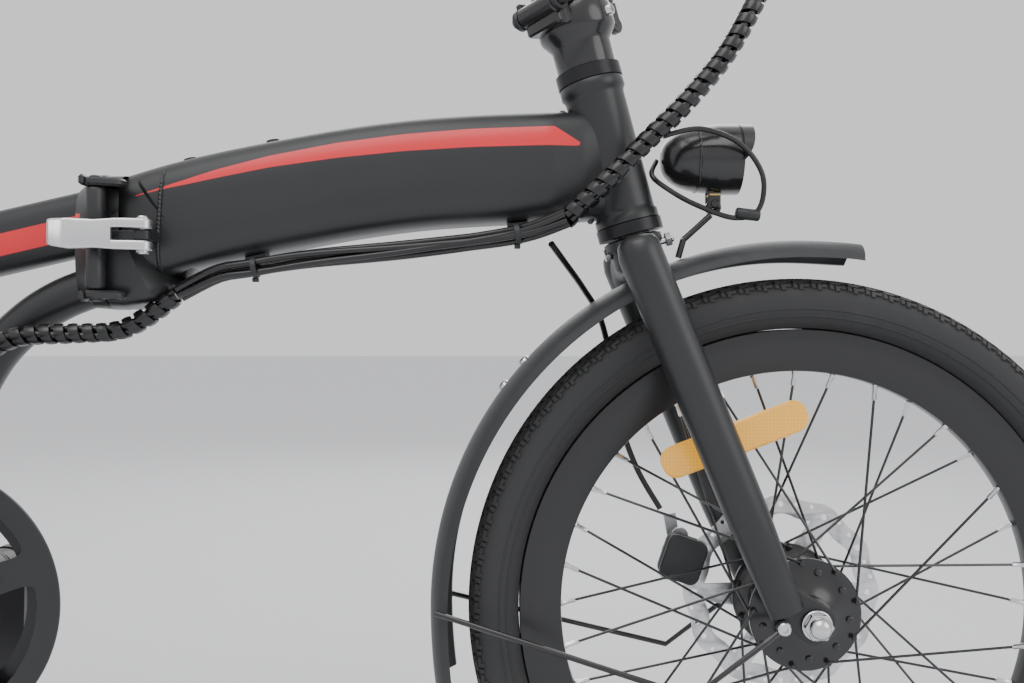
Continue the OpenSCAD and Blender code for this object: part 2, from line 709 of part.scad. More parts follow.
module right_crank() color("#2c2d2e") at_bb() {
  difference() {
    union() {
      plate_y(12, -crank_y - 2) link2d([0, 0], [0, crank_len], 17, 13);
      cyl_y(22, 14, -crank_y + 11);
      five_arms(18, 62, 14, 6, chain_y - 6);
      difference() {
        cog(ring_teeth, ring_r, 2.8, chain_y);
        cyl_y(ring_r - 16, 60, chain_y);
      }
      five_arms(58, ring_r - 12, 18, 2.8, chain_y);
      five_arms(56, 64, 18, 9, chain_y - 3);
    }
    cyl_y(8.5, 400);
    translate([0, 0, crank_len]) cyl_y(5, 400);
  }
}

module left_crank() color("#2c2d2e") at_bb() difference() {
  union() {
    plate_y(12, crank_y + 2) link2d([0, 0], [0, -crank_len], 17, 13);
    cyl_y(16, 18, crank_y - 11);
  }
  cyl_y(8.5, 400);
  translate([0, 0, -crank_len]) cyl_y(5, 400);
}

module chain_guard() color(black) at_bb() {
  y = chain_y - 10.5;
  difference() {
    cyl_y(guard_r, 3, y);
    cyl_y(guard_r - 15, 10, y);
  }
  difference() {
    five_arms(24, guard_r - 14, 16, 3, y);
    cyl_y(25.5, 10, y);
  }
}

module pedal_body() {
  difference() {
    union() {
      for (x = [-44, 36]) translate([x, -44, -11]) cube([8, 88, 22]);
      for (y = [-44, 36]) translate([-44, y, -11]) cube([88, 8, 22]);
      cyl_y(11, 88);
    }
    cyl_y(5 + run, 200);
  }
}
module right_pedal() color(rubber) at_bb() translate([0, -crank_y - 56, crank_len]) pedal_body();
module left_pedal() color(rubber) at_bb() translate([0, crank_y + 56, -crank_len]) pedal_body();

// Loop around both sprockets: round ends and the two tangent runs
module loop2d(extra) link2d([bb_x, bb_z], [rear_x, tyre_r], ring_r + extra, free_r + extra);
module chain() color("dimgray") difference() {
  plate_y(8, chain_y) loop2d(4.6);
  plate_y(20, chain_y) loop2d(-4.2);
  plate_y(4, chain_y) loop2d(3.7);
}

// ---------- Rear frame ----------

// Point on the seat tube's axis, t up from the bottom bracket
function seat_pt(t) = [bb_x - t * sin(seat_lean), 0, bb_z + t * cos(seat_lean)];
upper_pts = [for (k = [0 : 4]) let (a = [plate_back + 4, 0, wheel_top + 47], b = seat_pt(seat_joint))
  a + (b - a) * k / 4];
lower_pts = spline([
  [plate_back + 4, 0, wheel_top - 2], [hinge_x - 45, 0, wheel_top - 15], [hinge_x - 75, 0, wheel_top - 34],
  [hinge_x - 103, 0, wheel_top - 64], [bb_x - 0, 0, wheel_top - 110], [bb_x - 4, 0, bb_z + 80],
  [bb_x, 0, bb_z + 10]], 3);

module upper_tube(inset) sweep(upper_pts, [for (p = upper_pts) 24.5 - inset],
  [for (p = upper_pts) 18 - inset], 16, 0.75, [0.01, 1, 0]);
module lower_tube(inset) sweep(lower_pts, [for (p = lower_pts) 16 - inset],
  [for (p = lower_pts) 16 - inset], 12, 1, [0.01, 1, 0]);

module rear_frame() color(black) {
  difference() {
    union() {
      upper_tube(0);
      lower_tube(0);
      seat_line() cylinder(r = seat_tube_r, h = seat_tube_len);
      at_bb() cyl_y(20, 2 * bb_half - 0.2);
      translate([plate_back, 0, hinge_z]) hinge_plate(plate_t);
      at_hinge() translate([0, 0, -18 + gap]) cylinder(r = knuckle_r, h = 36 - 2 * gap);
      at_hinge() translate([-gap - plate_t, -14, -18 + gap]) cube([plate_t, 14, 36 - 2 * gap]);
      for (s = [-1, 1]) {
        cable([[bb_x - 12, s * 16, bb_z], [bb_x - 80, s * 30, bb_z - 3],
          [bb_x - 148, s * chainstay_out, bb_z - 6], [rear_x + 30, s * (dropout_y - 4), tyre_r + 1]], 8, 12);
        cable([seat_pt(238) + [-6, s * 14, 0], seat_pt(238) + [-76, s * 41, -46],
          [rear_x + 22, s * (dropout_y - 3), tyre_r + 18]], 6.5, 12);
      }
      // Kickstand lug under the left stay
      translate([kick_x - 13, 38, kick_z - 10]) cube([26, 18, 26]);
    }
    seat_line() translate([0, 0, 34]) cylinder(r = seat_bore_r, h = seat_tube_len);
    at_bb() cyl_y(17.4 + run, 200);
    at_hinge() translate([0, 0, -50]) cylinder(r = pin_r + run, h = 100);
    at_hinge() for (z = [-40 - gap, 18 - gap]) translate([-plate_t - 2, -14, z])
      cube([plate_t + 2 + knuckle_r + 1, 14 + knuckle_r + 1, 22 + 2 * gap]);
    at_hinge() translate([-plate_t - 2, -4, 40]) cube([20, 20, 20]);
    upper_tube(2.5);
    lower_tube(2);
  }
  for (s = [-1, 1]) difference() {
    translate([rear_x, 0, tyre_r]) plate_y(dropout_t, s * dropout_y) union() {
      link2d([0, 0], [34, 0], 17, 9);
      link2d([0, 0], [30, 22], 17, 9);
    }
    translate([rear_x, 0, tyre_r]) cyl_y(rear_axle_r + 0.2, 300);
  }
}

module frame_hinge_pin() color(silver) at_hinge() {
  translate([0, 0, -44]) cylinder(r = pin_r - run, h = 88);
  translate([0, 0, 40.3]) cylinder(r = 6.2, h = 4);
  translate([0, 0, -44.3]) cylinder(r = 6.2, h = 4);
}

module seat_clamp() color(silver) seat_line() translate([0, 0, seat_tube_len - 18]) {
  difference() {
    union() {
      cylinder(r = seat_tube_r + 4, h = 18);
      for (y = [-9, 3]) translate([-seat_tube_r - 18, y, 1]) cube([20, 6, 16]);
    }
    translate([0, 0, -1]) cylinder(r = seat_tube_r + run, h = 20);
    translate([-seat_tube_r - 30, -3, -1]) cube([32, 6, 20]);
    translate([-clamp_out, 0, 9]) cyl_y(3.1, 60);
  }
  // Skewer with its nut and the washer under the cam
  translate([-clamp_out, 0, 9]) {
    cyl_y(3, cam_y - 8 + 14, (cam_y - 8 - 14) / 2);
    cyl_y(7, 5, -11.7);
    cyl_y(7, 1.4, 9.9);
  }
}

module seat_clamp_lever() color(silver) seat_line()
  translate([-clamp_out, cam_y, seat_tube_len - 9]) {
    cylinder(r = 7, h = 14, center = true);
    translate([1, 0, -6]) cube([5.5, 12, 12]);
    translate([1, 8, -6]) cube([58, 4.5, 12]);
  }

module rear_axle() color("gray") translate([rear_x, 0, tyre_r]) {
  inner = dropout_y - dropout_t / 2 - 0.2;
  translate([0, (inner + motor_left) / 2, 0]) cyl_y(9, inner - motor_left - gap);
  translate([0, -(inner + motor_right) / 2, 0]) cyl_y(9, inner - motor_right - gap);
  cyl_y(rear_axle_r, 176);
  for (s = [-1, 1]) {
    cyl_y(12, 2, s * (dropout_y + dropout_t / 2 + 1.2));
    cyl_y(10.5, 9, s * (dropout_y + dropout_t / 2 + 6.7), $fn = 6);
  }
}

module rear_fender() color(black) {
  translate([rear_x, 0, tyre_r]) fender_shell(15, 172);
  // Stays, their bolts at the dropouts and the strap to the seat tube
  for (s = [-1, 1]) {
    cable([[rear_x - 8, s * 77, tyre_r + 14], [rear_x - 70, s * 70, tyre_r + 18],
      [rear_x - 264, s * 33, tyre_r + 55]], 2.2, 12);
  }
  seat_line() translate([-seat_tube_r - 74, -10, 150]) cube([74 - gap, 20, 2.4]);
}

module rear_caliper() color("#2b2b2c") translate([rear_x, 0, tyre_r]) {
  caliper_body(rear_caliper_at, rear_rotor_y);
  // Arm down to the dropout's inner face
  rotate([0, -rear_caliper_at, 0]) translate([20, rear_rotor_y + 10, -9]) cube([rotor_r - 30, 5, 18]);
  rotate([0, -rear_caliper_at, 0]) translate([19, rear_rotor_y + 10, -9])
    cube([10, dropout_y - dropout_t / 2 - rear_rotor_y - 10, 18]);
}
module rear_brake_arm() color("dimgray") translate([rear_x, 0, tyre_r]) {
  rotate([0, -rear_caliper_at, 0]) translate([rotor_r + 6, 0, 0]) {
    cyl_y(9, 4, rear_rotor_y + 24.5);
    rotate([0, -60, 0]) translate([0, rear_rotor_y + 22.5, -5]) cube([30, 4, 10]);
  }
}

module tail_light() color("red") translate([rear_x, 0, tyre_r]) rotate([0, -150, 0])
  translate([fender_r + 1.4, -22, -16]) {
    cube([14, 44, 32]);
    translate([13, 4, 4]) cube([5, 36, 24]);
  }

module controller() color("gray") seat_line() translate([-seat_tube_r - gap - 34, -30, 62]) {
  cube([34, 60, 84]);
  for (z = [8 : 10 : 78]) translate([-3, 0, z]) cube([3.1, 60, 3]);
}

rear_loom_path = [
  [-472.8, -20, -13.8], [-495, -22, -31], [-516, -24, -41], [-550, -26, -43], [-590, -28, -46],
  [-615, -29, -62], [-632, -28, -95], [-638, -28, -150]
];
module rear_loom() color(rubber) cable(spline(bike(rear_loom_path), 2), 8);

// ---------- Seat ----------

module seatpost() color("gray") seat_line() {
  difference() {
    translate([0, 0, 200]) cylinder(r = post_d / 2, h = seat_top_t - 200);
    translate([0, 0, 199]) cylinder(r = post_d / 2 - 2.5, h = seat_top_t - 204);
  }
  translate([0, 0, seat_top_t - 20]) cylinder(r = 11, h = 34);
}
module at_saddle() translate(seat_pt(seat_top_t)) children();
module saddle_clamp() color("dimgray") at_saddle() {
  difference() {
    union() {
      translate([-3, 0, 4]) rotate([0, -seat_lean, 0]) cylinder(r = 16, h = 22);
      translate([0, 0, 22]) cyl_y(12, 46);
    }
    rotate([0, -seat_lean, 0]) translate([0, 0, -30]) cylinder(r = 11 + run, h = 44.1);
  }
  for (s = [-1, 1]) rod([[-90, s * 40, 52], [-60, s * 22, 24], [45, s * 22, 24], [110, s * 10, 46]], 3.5);
}
module saddle() color(rubber) at_saddle() hull() {
  translate([-95, 0, 66]) for (s = [-1, 1]) translate([0, s * 42, 0]) sphere(r = 30, $fn = 32);
  translate([-40, 0, 64]) for (s = [-1, 1]) translate([0, s * 30, 0]) sphere(r = 26, $fn = 32);
  translate([125, 0, 58]) sphere(r = 20, $fn = 32);
}

// ---------- Kickstand ----------

module kickstand() color(black) {
  difference() {
    translate([kick_x, 62, kick_z]) {
      rotate([kick_splay, 0, 0]) cyl_y(11, 9, 2);
      bar([0, 3, 0], kick_foot + [0, 3, 0], 7.5);
      translate(kick_foot + [0, 3, 8]) cylinder(r1 = 17, r2 = 9, h = 16, center = true);
    }
    translate([kick_x - 200, -200, -60]) cube([600, 600, 60]);
  }
}

// ---------- Handlepost ----------

module handlepost() color(black) steer() difference() {
  union() {
    translate([0, 0, fold_s + gap / 2]) cylinder(r = 30, h = 16);
    translate([0, 0, fold_s + 15]) cylinder(r1 = 30, r2 = 19, h = 24);
    translate([0, 0, fold_s + 38]) cylinder(r1 = 19, r2 = 16, h = post_len - 38);
    translate([0, 0, bar_s]) cyl_y(17, 44);
    rotate([0, 0, 225]) for (y = [-22.4, 17.4]) translate([0, y, fold_s + gap / 2])
      cube([stem_hinge_out, 5, 12]);
    rotate([0, 0, 225]) translate([stem_hinge_out, 0, fold_s]) for (s = [-1, 1]) cyl_y(8, 5, s * 19.9);
  }
  translate([0, 0, fold_s - 1]) cylinder(r = 13.5, h = post_len - 20);
  translate([0, 0, bar_s]) cyl_y(bar_d / 2 + run, 100);
  rotate([0, 0, 225]) translate([stem_hinge_out, 0, fold_s]) cyl_y(3, 60);
}

module bar_centre() steer() translate([0, 0, bar_s]) children();
// Outer stretch of the bar: y runs outwards from the bend, x forward
module bar_side(s) bar_centre() mirror([0, s < 0 ? 1 : 0, 0]) translate([0, bend_y, 0])
  rotate([0, 0, sweep_back]) children();

module handlebar() color("gray") {
  difference() {
    union() {
      bar_centre() cyl_y(bar_d / 2, 2 * bend_y);
      for (s = [-1, 1]) bar_side(s) {
        sphere(r = bar_d / 2);
        cyl_y(bar_d / 2, bar_out, bar_out / 2);
      }
    }
    bar_centre() cyl_y(bar_d / 2 - 2.2, 2 * bend_y - 6);
    for (s = [-1, 1]) bar_side(s) cyl_y(bar_d / 2 - 2.2, bar_out, bar_out / 2 + 6);
  }
}
module grips() color(rubber) for (s = [-1, 1]) bar_side(s) difference() {
  union() {
    cyl_y(16, grip_len, bar_out - grip_len / 2 + 3);
    cyl_y(19, 4, bar_out - grip_len + 5);
  }
  cyl_y(bar_d / 2 + run, 2 * bar_out);
}

module bar_controls() color(black) {
  for (s = [-1, 1]) bar_side(s) rotate([0, lever_drop, 0]) translate([0, perch_y, 0]) difference() {
    union() {
      cyl_y(16, 20);
      translate([8, -10, -7]) cube([lever_x - 2, 24, 14]);
      translate([lever_x, -26, 0]) cyl_y(5.5, 20, 10);
    }
    cyl_y(bar_d / 2 + run, 60);
    translate([lever_x - 9, -2, -3.5 - gap]) cube([40, 40, 7 + 2 * gap]);
    translate([lever_x, 6, -20]) cylinder(r = 2.5, h = 40);
  }
  // Display pod on the left, with the socket of its key
  bar_side(1) difference() {
    translate([-20, 14, 6]) cube([44, 44, 22]);
    cyl_y(bar_d / 2 + run, 200);
    translate([12, 36, 22]) cylinder(r = 6 + gap, h = 20);
  }
}
module power_button() color("red") bar_side(1) translate([12, 36, 24]) cylinder(r = 6, h = 6);

module brake_lever(s) bar_side(s) rotate([0, lever_drop, 0]) translate([lever_x, perch_y + 6, 0]) {
  translate([0, 0, -9]) cylinder(r = 2.5 - run, h = 18);
  cylinder(r = 6, h = 7, center = true);
  rotate([0, 0, -4]) translate([-4, 0, -3.5]) cube([9, 56, 7]);
  rotate([0, 0, 2]) translate([-2, 50, -4.5]) cube([11, 54, 9]);
}
module left_brake_lever() color("#2c2d2e") brake_lever(1);
module right_brake_lever() color("#2c2d2e") brake_lever(-1);

module stem_lever() color(black) steer() rotate([0, 0, 45])
  translate([stem_pin_out, 0, fold_s - 12]) {
    cyl_y(2.5, 24);
    for (y = [-8.8, 8.8]) cyl_y(7, 6.6, y);
    for (y = [-12, 5.4]) translate([-1, y, 0]) cube([7, 6.6, 18]);
    translate([-1, -12, 11]) cube([7, 24, 86]);
  }

rear_frame();
frame_hinge_pin();
seat_clamp();
bb_cartridge();
rear_axle();
rear_fender();
rear_caliper();
tail_light();
controller();
chain();
rear_loom();
rear_brake_arm();
seatpost();
saddle_clamp();
saddle();
seat_clamp_lever();
kickstand();
rear_tyre();
rear_rim();
rear_spokes();
hub_motor();
rear_rotor();
freewheel();
right_crank();
chain_guard();
left_crank();
crank_axles();
right_pedal();
left_pedal();
front_frame();
headset_cups();
battery_pack();
beam_cables();
beam_fittings();
front_cables();
frame_lever();
fork();
stem_base();
front_fender();
front_fender_stays();
front_axle();
front_caliper();
headlight_bracket();
fork_fasteners();
front_brake_arm();
headlight_shell();
headlight_lens();
front_tyre();
front_rim();
front_spokes();
front_hub();
front_rotor();
handlepost();
handlebar();
grips();
bar_controls();
power_button();
stem_lever();
left_brake_lever();
right_brake_lever();
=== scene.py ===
import math

import bmesh
import bpy
from mathutils import Matrix, Vector


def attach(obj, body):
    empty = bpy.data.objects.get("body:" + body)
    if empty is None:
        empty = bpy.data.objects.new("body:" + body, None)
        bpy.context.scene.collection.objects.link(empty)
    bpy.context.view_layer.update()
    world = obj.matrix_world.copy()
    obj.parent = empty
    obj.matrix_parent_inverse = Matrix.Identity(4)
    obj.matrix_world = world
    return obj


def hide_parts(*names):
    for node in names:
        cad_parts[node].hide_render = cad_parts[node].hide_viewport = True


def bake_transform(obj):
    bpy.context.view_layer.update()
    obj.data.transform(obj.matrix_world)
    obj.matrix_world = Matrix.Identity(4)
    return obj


bl_info = {
    "name": "Folding electric bicycle",
    "version": (1, 0, 0),
    "blender": (4, 5, 0),
    "location": "3D View > Sidebar > Bicycle",
    "description": "Builds the visible pieces of a folding electric bicycle around its fixed frame",
    "category": "Object",
}

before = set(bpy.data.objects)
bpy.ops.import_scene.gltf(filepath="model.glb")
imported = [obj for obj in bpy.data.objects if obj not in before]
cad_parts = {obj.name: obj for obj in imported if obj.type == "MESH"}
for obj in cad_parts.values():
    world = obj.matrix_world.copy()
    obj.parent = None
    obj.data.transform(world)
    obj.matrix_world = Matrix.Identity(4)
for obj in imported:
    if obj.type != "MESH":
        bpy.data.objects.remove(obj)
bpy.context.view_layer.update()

MM = 0.001
TAU = 2 * math.pi

# Places shared with the frame, in millimetres
TYRE_R = 253.0
RIM_R = 215.0
RIM_DEPTH = 34.0
FRONT_X = 539.0
REAR_X = -511.0
HINGE_X = 19.0
HINGE_Y = 38.0
WHEEL_TOP = 506.0
HINGE_Z = WHEEL_TOP + 26
BB = Vector((-106.0, 0.0, 268.0))
HEAD_LEAN = math.radians(14.9)
SEAT_LEAN = math.radians(17)
FORK_OFFSET = 48.6
BLADE_Y = 55.0
ROTOR_Y = 38.0
REAR_ROTOR_Y = 46.0
CALIPER_AT = 161.0
CROWN_S = 290.0
HEAD_S = 318.0
HEAD_TOP_S = 431.0
FOLD_S = 488.0
BAR_S = 818.0
CHAIN_Y = -46.0

FRONT_AXLE = Vector((FRONT_X, 0, TYRE_R))
REAR_AXLE = Vector((REAR_X, 0, TYRE_R))
X, Y, Z = Vector((1, 0, 0)), Vector((0, 1, 0)), Vector((0, 0, 1))


# ---------- Places ----------

def steer(x, y, z):
    """Row frame place of a point in the steering's own frame: x forward, z up its axis."""
    c, s = math.cos(HEAD_LEAN), math.sin(HEAD_LEAN)
    dx = x - FORK_OFFSET
    return Vector((FRONT_X + c * dx - s * z, y, TYRE_R + s * dx + c * z))


def steer_dir(x, y, z):
    c, s = math.cos(HEAD_LEAN), math.sin(HEAD_LEAN)
    return Vector((c * x - s * z, y, s * x + c * z))


def seat(x, y, z):
    """Row frame place of a point in the seat tube's frame: z up it from the bottom bracket."""
    c, s = math.cos(SEAT_LEAN), math.sin(SEAT_LEAN)
    return BB + Vector((c * x - s * z, y, s * x + c * z))


def seat_dir(x, y, z):
    return seat(x, y, z) - BB


def from_axle(x, y, z):
    """Row frame place of a point given behind the front axle, sideways, and above the wheel's top."""
    return Vector((FRONT_X + x, y, WHEEL_TOP + z))


def mixed(a, b, t):
    return a + (b - a) * t


def spline(points, steps):
    """Points of a smooth curve through the given ones."""
    p = [Vector(q) for q in points]
    out = []
    for i in range(len(p) - 1):
        a, b, c, d = p[max(i - 1, 0)], p[i], p[i + 1], p[min(i + 2, len(p) - 1)]
        for j in range(steps):
            t = j / steps
            out.append(0.5 * (2 * b + (c - a) * t + (2 * a - 5 * b + 4 * c - d) * t * t
                              + (3 * b - a - 3 * c + d) * t ** 3))
    return out + [p[-1]]


def lookup(table, x):
    """Value at x in a table of (x, value) pairs in rising order."""
    if x <= table[0][0]:
        return table[0][1]
    for (x0, v0), (x1, v1) in zip(table, table[1:]):
        if x <= x1:
            return v0 + (v1 - v0) * (x - x0) / (x1 - x0)
    return table[-1][1]


# ---------- Mesh making ----------

def oval(ry, rz, n=32, square=1.0):
    """Outline of an ellipse, squarer as square goes below 1."""
    out = []
    for k in range(n):
        a = TAU * k / n
        c, s = math.cos(a), math.sin(a)
        out.append((ry * math.copysign(abs(c) ** square, c), rz * math.copysign(abs(s) ** square, s)))
    return out


def rounded(w, h, r, seg=4):
    """Outline of a rectangle with round corners, centred."""
    out = []
    for cx, cy, a0 in ((1, 1, 0), (-1, 1, 90), (-1, -1, 180), (1, -1, 270)):
        for k in range(seg + 1):
            a = math.radians(a0 + 90 * k / seg)
            out.append((cx * (w / 2 - r) + r * math.cos(a), cy * (h / 2 - r) + r * math.sin(a)))
    return out


def inset(outline, d):
    """The outline moved inwards by d."""
    n = len(outline)
    area = sum(outline[i][0] * outline[(i + 1) % n][1] - outline[(i + 1) % n][0] * outline[i][1]
               for i in range(n))
    turn = 1 if area > 0 else -1
    out = []
    for i in range(n):
        p, q, r = (Vector(outline[j % n]) for j in (i - 1, i, i + 1))
        a, b = (q - p).normalized(), (r - q).normalized()
        m = a + b
        if m.length < 1e-6:
            out.append(tuple(q))
            continue
        m.normalize()
        k = max(0.5, abs(m.dot(a)))
        out.append((q.x - turn * m.y * d / k, q.y + turn * m.x * d / k))
    return out


def capsule(a, b, ra, rb, seg=12):
    """Outline of two round ends joined by their tangents."""
    a, b = Vector(a), Vector(b)
    d = b - a
    turn = math.atan2(d.y, d.x)
    open_ = math.acos(max(-1, min(1, (ra - rb) / d.length)))
    out = []
    for k in range(seg + 1):
        t = turn + open_ + (TAU - 2 * open_) * k / seg
        out.append((a.x + ra * math.cos(t), a.y + ra * math.sin(t)))
    for k in range(seg + 1):
        t = turn - open_ + 2 * open_ * k / seg
        out.append((b.x + rb * math.cos(t), b.y + rb * math.sin(t)))
    return out


def basis(normal, up):
    """Two directions square to a normal, the second nearest to up."""
    n = normal.normalized()
    side = up.cross(n)
    if side.length < 1e-4:
        side = Y.cross(n) if abs(n.y) < 0.9 else X.cross(n)
    side.normalize()
    return side, n.cross(side)


class Shape:
    """Gathers mesh parts of one piece; sizes in millimetres, one material index at a time."""

    def __init__(self):
        self.bm = bmesh.new()
        self.index = 0

    def add(self, verts, faces, smooth=True):
        base = [self.bm.verts.new(Vector(v) * MM) for v in verts]
        for f in faces:
            face = self.bm.faces.new([base[i] for i in f])
            face.material_index = self.index
            face.smooth = smooth
        return base

    def loft(self, path, rings, up=Z, caps=True, closed=False):
        """Skin over rings, each a list of (side, up) points at its path point."""
        path = [Vector(p) for p in path]
        m, n, verts = len(path), len(rings[0]), []
        for i, p in enumerate(path):
            a = path[(i - 1) % m] if closed else path[max(i - 1, 0)]
            b = path[(i + 1) % m] if closed else path[min(i + 1, m - 1)]
            side, high = basis(b - a, up)
            verts += [p + side * q[0] + high * q[1] for q in rings[i]]
        faces = []
        for i in range(m if closed else m - 1):
            j = (i + 1) % m
            for k in range(n):
                l = (k + 1) % n
                faces.append((i * n + k, i * n + l, j * n + l, j * n + k))
        if caps and not closed:
            faces += [tuple(range(n - 1, -1, -1)), tuple((m - 1) * n + k for k in range(n))]
        self.add(verts, faces)

    def tube(self, path, r, n=16, up=Z, caps=True):
        rs = r if isinstance(r, (list, tuple)) else [r] * len(path)
        self.loft(path, [oval(q, q, n) for q in rs], up, caps)

    def turn(self, origin, axis, profile, n=48, start=0.0, up=Z):
        """Profile of (radius, height) pairs turned about an axis; ends at radius 0 are closed."""
        side, high = basis(axis, up)
        axis = axis.normalized()
        rows = []
        verts = []
        for r, h in profile:
            if r < 1e-6:
                rows.append([len(verts)] * n)
                verts.append(origin + axis * h)
            else:
                rows.append(list(range(len(verts), len(verts) + n)))
                for k in range(n):
                    a = start + TAU * k / n
                    verts.append(origin + axis * h + (side * math.cos(a) + high * math.sin(a)) * r)
        faces = []
        for lo, hi in zip(rows, rows[1:]):
            for k in range(n):
                l = (k + 1) % n
                f = [lo[k], lo[l], hi[l], hi[k]]
                f = [v for i, v in enumerate(f) if v != f[i - 1]]
                if len(f) > 2:
                    faces.append(tuple(f))
        self.add(verts, faces)

    def pin(self, a, b, r, chamfer=0.6, n=24):
        """Round bar with chamfered ends."""
        a, b = Vector(a), Vector(b)
        h = (b - a).length
        c = min(chamfer, h / 3, r / 2)
        self.turn(a, b - a, [(0, 0), (r - c, 0), (r, c), (r, h - c), (r - c, h), (0, h)], n)

    def slab(self, origin, normal, outline, thick, bevel=0.6, up=Z):
        """Outline drawn square to normal, thickened along it, its edges bevelled."""
        side, high = basis(normal, up)
        normal = normal.normalized()
        b = min(bevel, thick / 2.2)
        small = inset(outline, b)
        n, verts = len(outline), []
        for h, ring in ((0, small), (b, outline), (thick - b, outline), (thick, small)):
            verts += [Vector(origin) + normal * h + side * p[0] + high * p[1] for p in ring]
        faces = [(i * n + k, i * n + (k + 1) % n, (i + 1) * n + (k + 1) % n, (i + 1) * n + k)
                 for i in range(3) for k in range(n)]
        faces += [tuple(range(n - 1, -1, -1)), tuple(3 * n + k for k in range(n))]
        self.add(verts, faces)

    def block(self, centre, size, r=2.0, bevel=0.8, z=Z, x=X):
        """Box with round upright corners and bevelled top and bottom edges."""
        z = z.normalized()
        up = z.cross(x).normalized()
        self.slab(Vector(centre) - z * size[2] / 2, z, rounded(size[0], size[1], r), size[2], bevel, up)

    def screw(self, at, axis, r, h, hex_socket=True):
        """Round screw head with a hex socket."""
        p = [(0, h * 0.45), (r * 0.5, h * 0.45), (r * 0.5, h), (r * 0.82, h), (r, h * 0.75), (r, 0), (0, 0)]
        if not hex_socket:
            p = [(0, h * 1.15), (r * 0.55, h), (r * 0.9, h * 0.55), (r, 0), (0, 0)]
        self.turn(Vector(at), axis, list(reversed(p)), 24)

    def nut(self, at, axis, r, h):
        out = [(r * math.cos(math.radians(60 * k)), r * math.sin(math.radians(60 * k))) for k in range(6)]
        self.slab(Vector(at), axis, out, h, 0.7)

    def take(self, mesh, matrix=None):
        """Adds another mesh, already in metres."""
        first_face = len(self.bm.faces)
        first_vert = len(self.bm.verts)
        self.bm.from_mesh(mesh)
        self.bm.verts.ensure_lookup_table()
        self.bm.faces.ensure_lookup_table()
        if matrix:
            bmesh.ops.transform(self.bm, matrix=matrix, verts=self.bm.verts[first_vert:])
        for f in self.bm.faces[first_face:]:
            f.material_index = self.index

    def mesh(self, name, angle=35):
        bmesh.ops.remove_doubles(self.bm, verts=self.bm.verts, dist=1e-6)
        bmesh.ops.recalc_face_normals(self.bm, faces=self.bm.faces)
        me = bpy.data.meshes.new(name)
        self.bm.to_mesh(me)
        self.bm.free()
        me.set_sharp_from_angle(angle=math.radians(angle))
        return me


def place(name, mesh, mats, body, replaces=(), blend=None):
    """Puts a finished mesh in the scene as a piece of the bicycle."""
    for m in mats:
        mesh.materials.append(MATERIALS[m]())
    o = bpy.data.objects.new(name, mesh)
    bpy.context.scene.collection.objects.link(o)
    if blend:
        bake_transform(o)
    else:
        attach(o, body)
    if replaces:
        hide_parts(*replaces)
    return o


def plate_mesh(outer, holes, thick, bevel=0.0):
    """Flat plate in the XZ plane, centred on Y, with holes; sizes in millimetres."""
    cu = bpy.data.curves.new("outline", "CURVE")
    cu.dimensions = "2D"
    cu.fill_mode = "BOTH"
    cu.extrude = (thick / 2 - bevel) * MM
    cu.bevel_depth = bevel * MM
    cu.bevel_resolution = 1
    cu.offset = -bevel * MM
    for ring in [outer] + holes:
        s = cu.splines.new("POLY")
        s.points.add(len(ring) - 1)
        for pt, q in zip(s.points, ring):
            pt.co = (q[0] * MM, q[1] * MM, 0, 1)
        s.use_cyclic_u = True
    o = bpy.data.objects.new("outline", cu)
    bpy.context.scene.collection.objects.link(o)
    me = bpy.data.meshes.new_from_object(o.evaluated_get(bpy.context.evaluated_depsgraph_get()))
    bpy.data.objects.remove(o)
    bpy.data.curves.remove(cu)
    me.transform(Matrix.Rotation(math.radians(90), 4, "X"))
    return me


def circle(r, cx=0.0, cy=0.0, n=24):
    return [(cx + r * math.cos(TAU * k / n), cy + r * math.sin(TAU * k / n)) for k in range(n)]


# ---------- Repeats made with Geometry Nodes ----------

def tree_with(name, inputs):
    t = bpy.data.node_groups.new(name, "GeometryNodeTree")
    for label, kind, default in inputs:
        s = t.interface.new_socket(label, in_out="INPUT", socket_type=kind)
        if default is not None:
            s.default_value = default
    t.interface.new_socket("Geometry", in_out="OUTPUT", socket_type="NodeSocketGeometry")
    return t, t.nodes.new("NodeGroupInput"), t.nodes.new("NodeGroupOutput")


def wheel_tree():
    """Copies an item evenly round the Y axis."""
    if "Repeat round axle" in bpy.data.node_groups:
        return bpy.data.node_groups["Repeat round axle"]
    t, i, o = tree_with("Repeat round axle", [
        ("Item", "NodeSocketObject", None), ("Count", "NodeSocketInt", 12),
        ("Start", "NodeSocketFloat", 0.0), ("Material", "NodeSocketMaterial", None)])
    new, link = t.nodes.new, t.links.new
    line = new("GeometryNodeMeshLine")
    line.inputs["Offset"].default_value = (0, 0, 0)
    link(i.outputs["Count"], line.inputs["Count"])
    index = new("GeometryNodeInputIndex")
    step = new("ShaderNodeMath")
    step.operation = "DIVIDE"
    step.inputs[0].default_value = TAU
    link(i.outputs["Count"], step.inputs[1])
    angle = new("ShaderNodeMath")
    angle.operation = "MULTIPLY_ADD"
    link(index.outputs[0], angle.inputs[0])
    link(step.outputs[0], angle.inputs[1])
    link(i.outputs["Start"], angle.inputs[2])
    euler = new("ShaderNodeCombineXYZ")
    link(angle.outputs[0], euler.inputs["Y"])
    item = new("GeometryNodeObjectInfo")
    link(i.outputs["Item"], item.inputs["Object"])
    put = new("GeometryNodeInstanceOnPoints")
    link(line.outputs["Mesh"], put.inputs["Points"])
    link(item.outputs["Geometry"], put.inputs["Instance"])
    link(euler.outputs[0], put.inputs["Rotation"])
    real = new("GeometryNodeRealizeInstances")
    link(put.outputs[0], real.inputs[0])
    paint = new("GeometryNodeSetMaterial")
    link(real.outputs[0], paint.inputs["Geometry"])
    link(i.outputs["Material"], paint.inputs["Material"])
    link(paint.outputs[0], o.inputs[0])
    return t


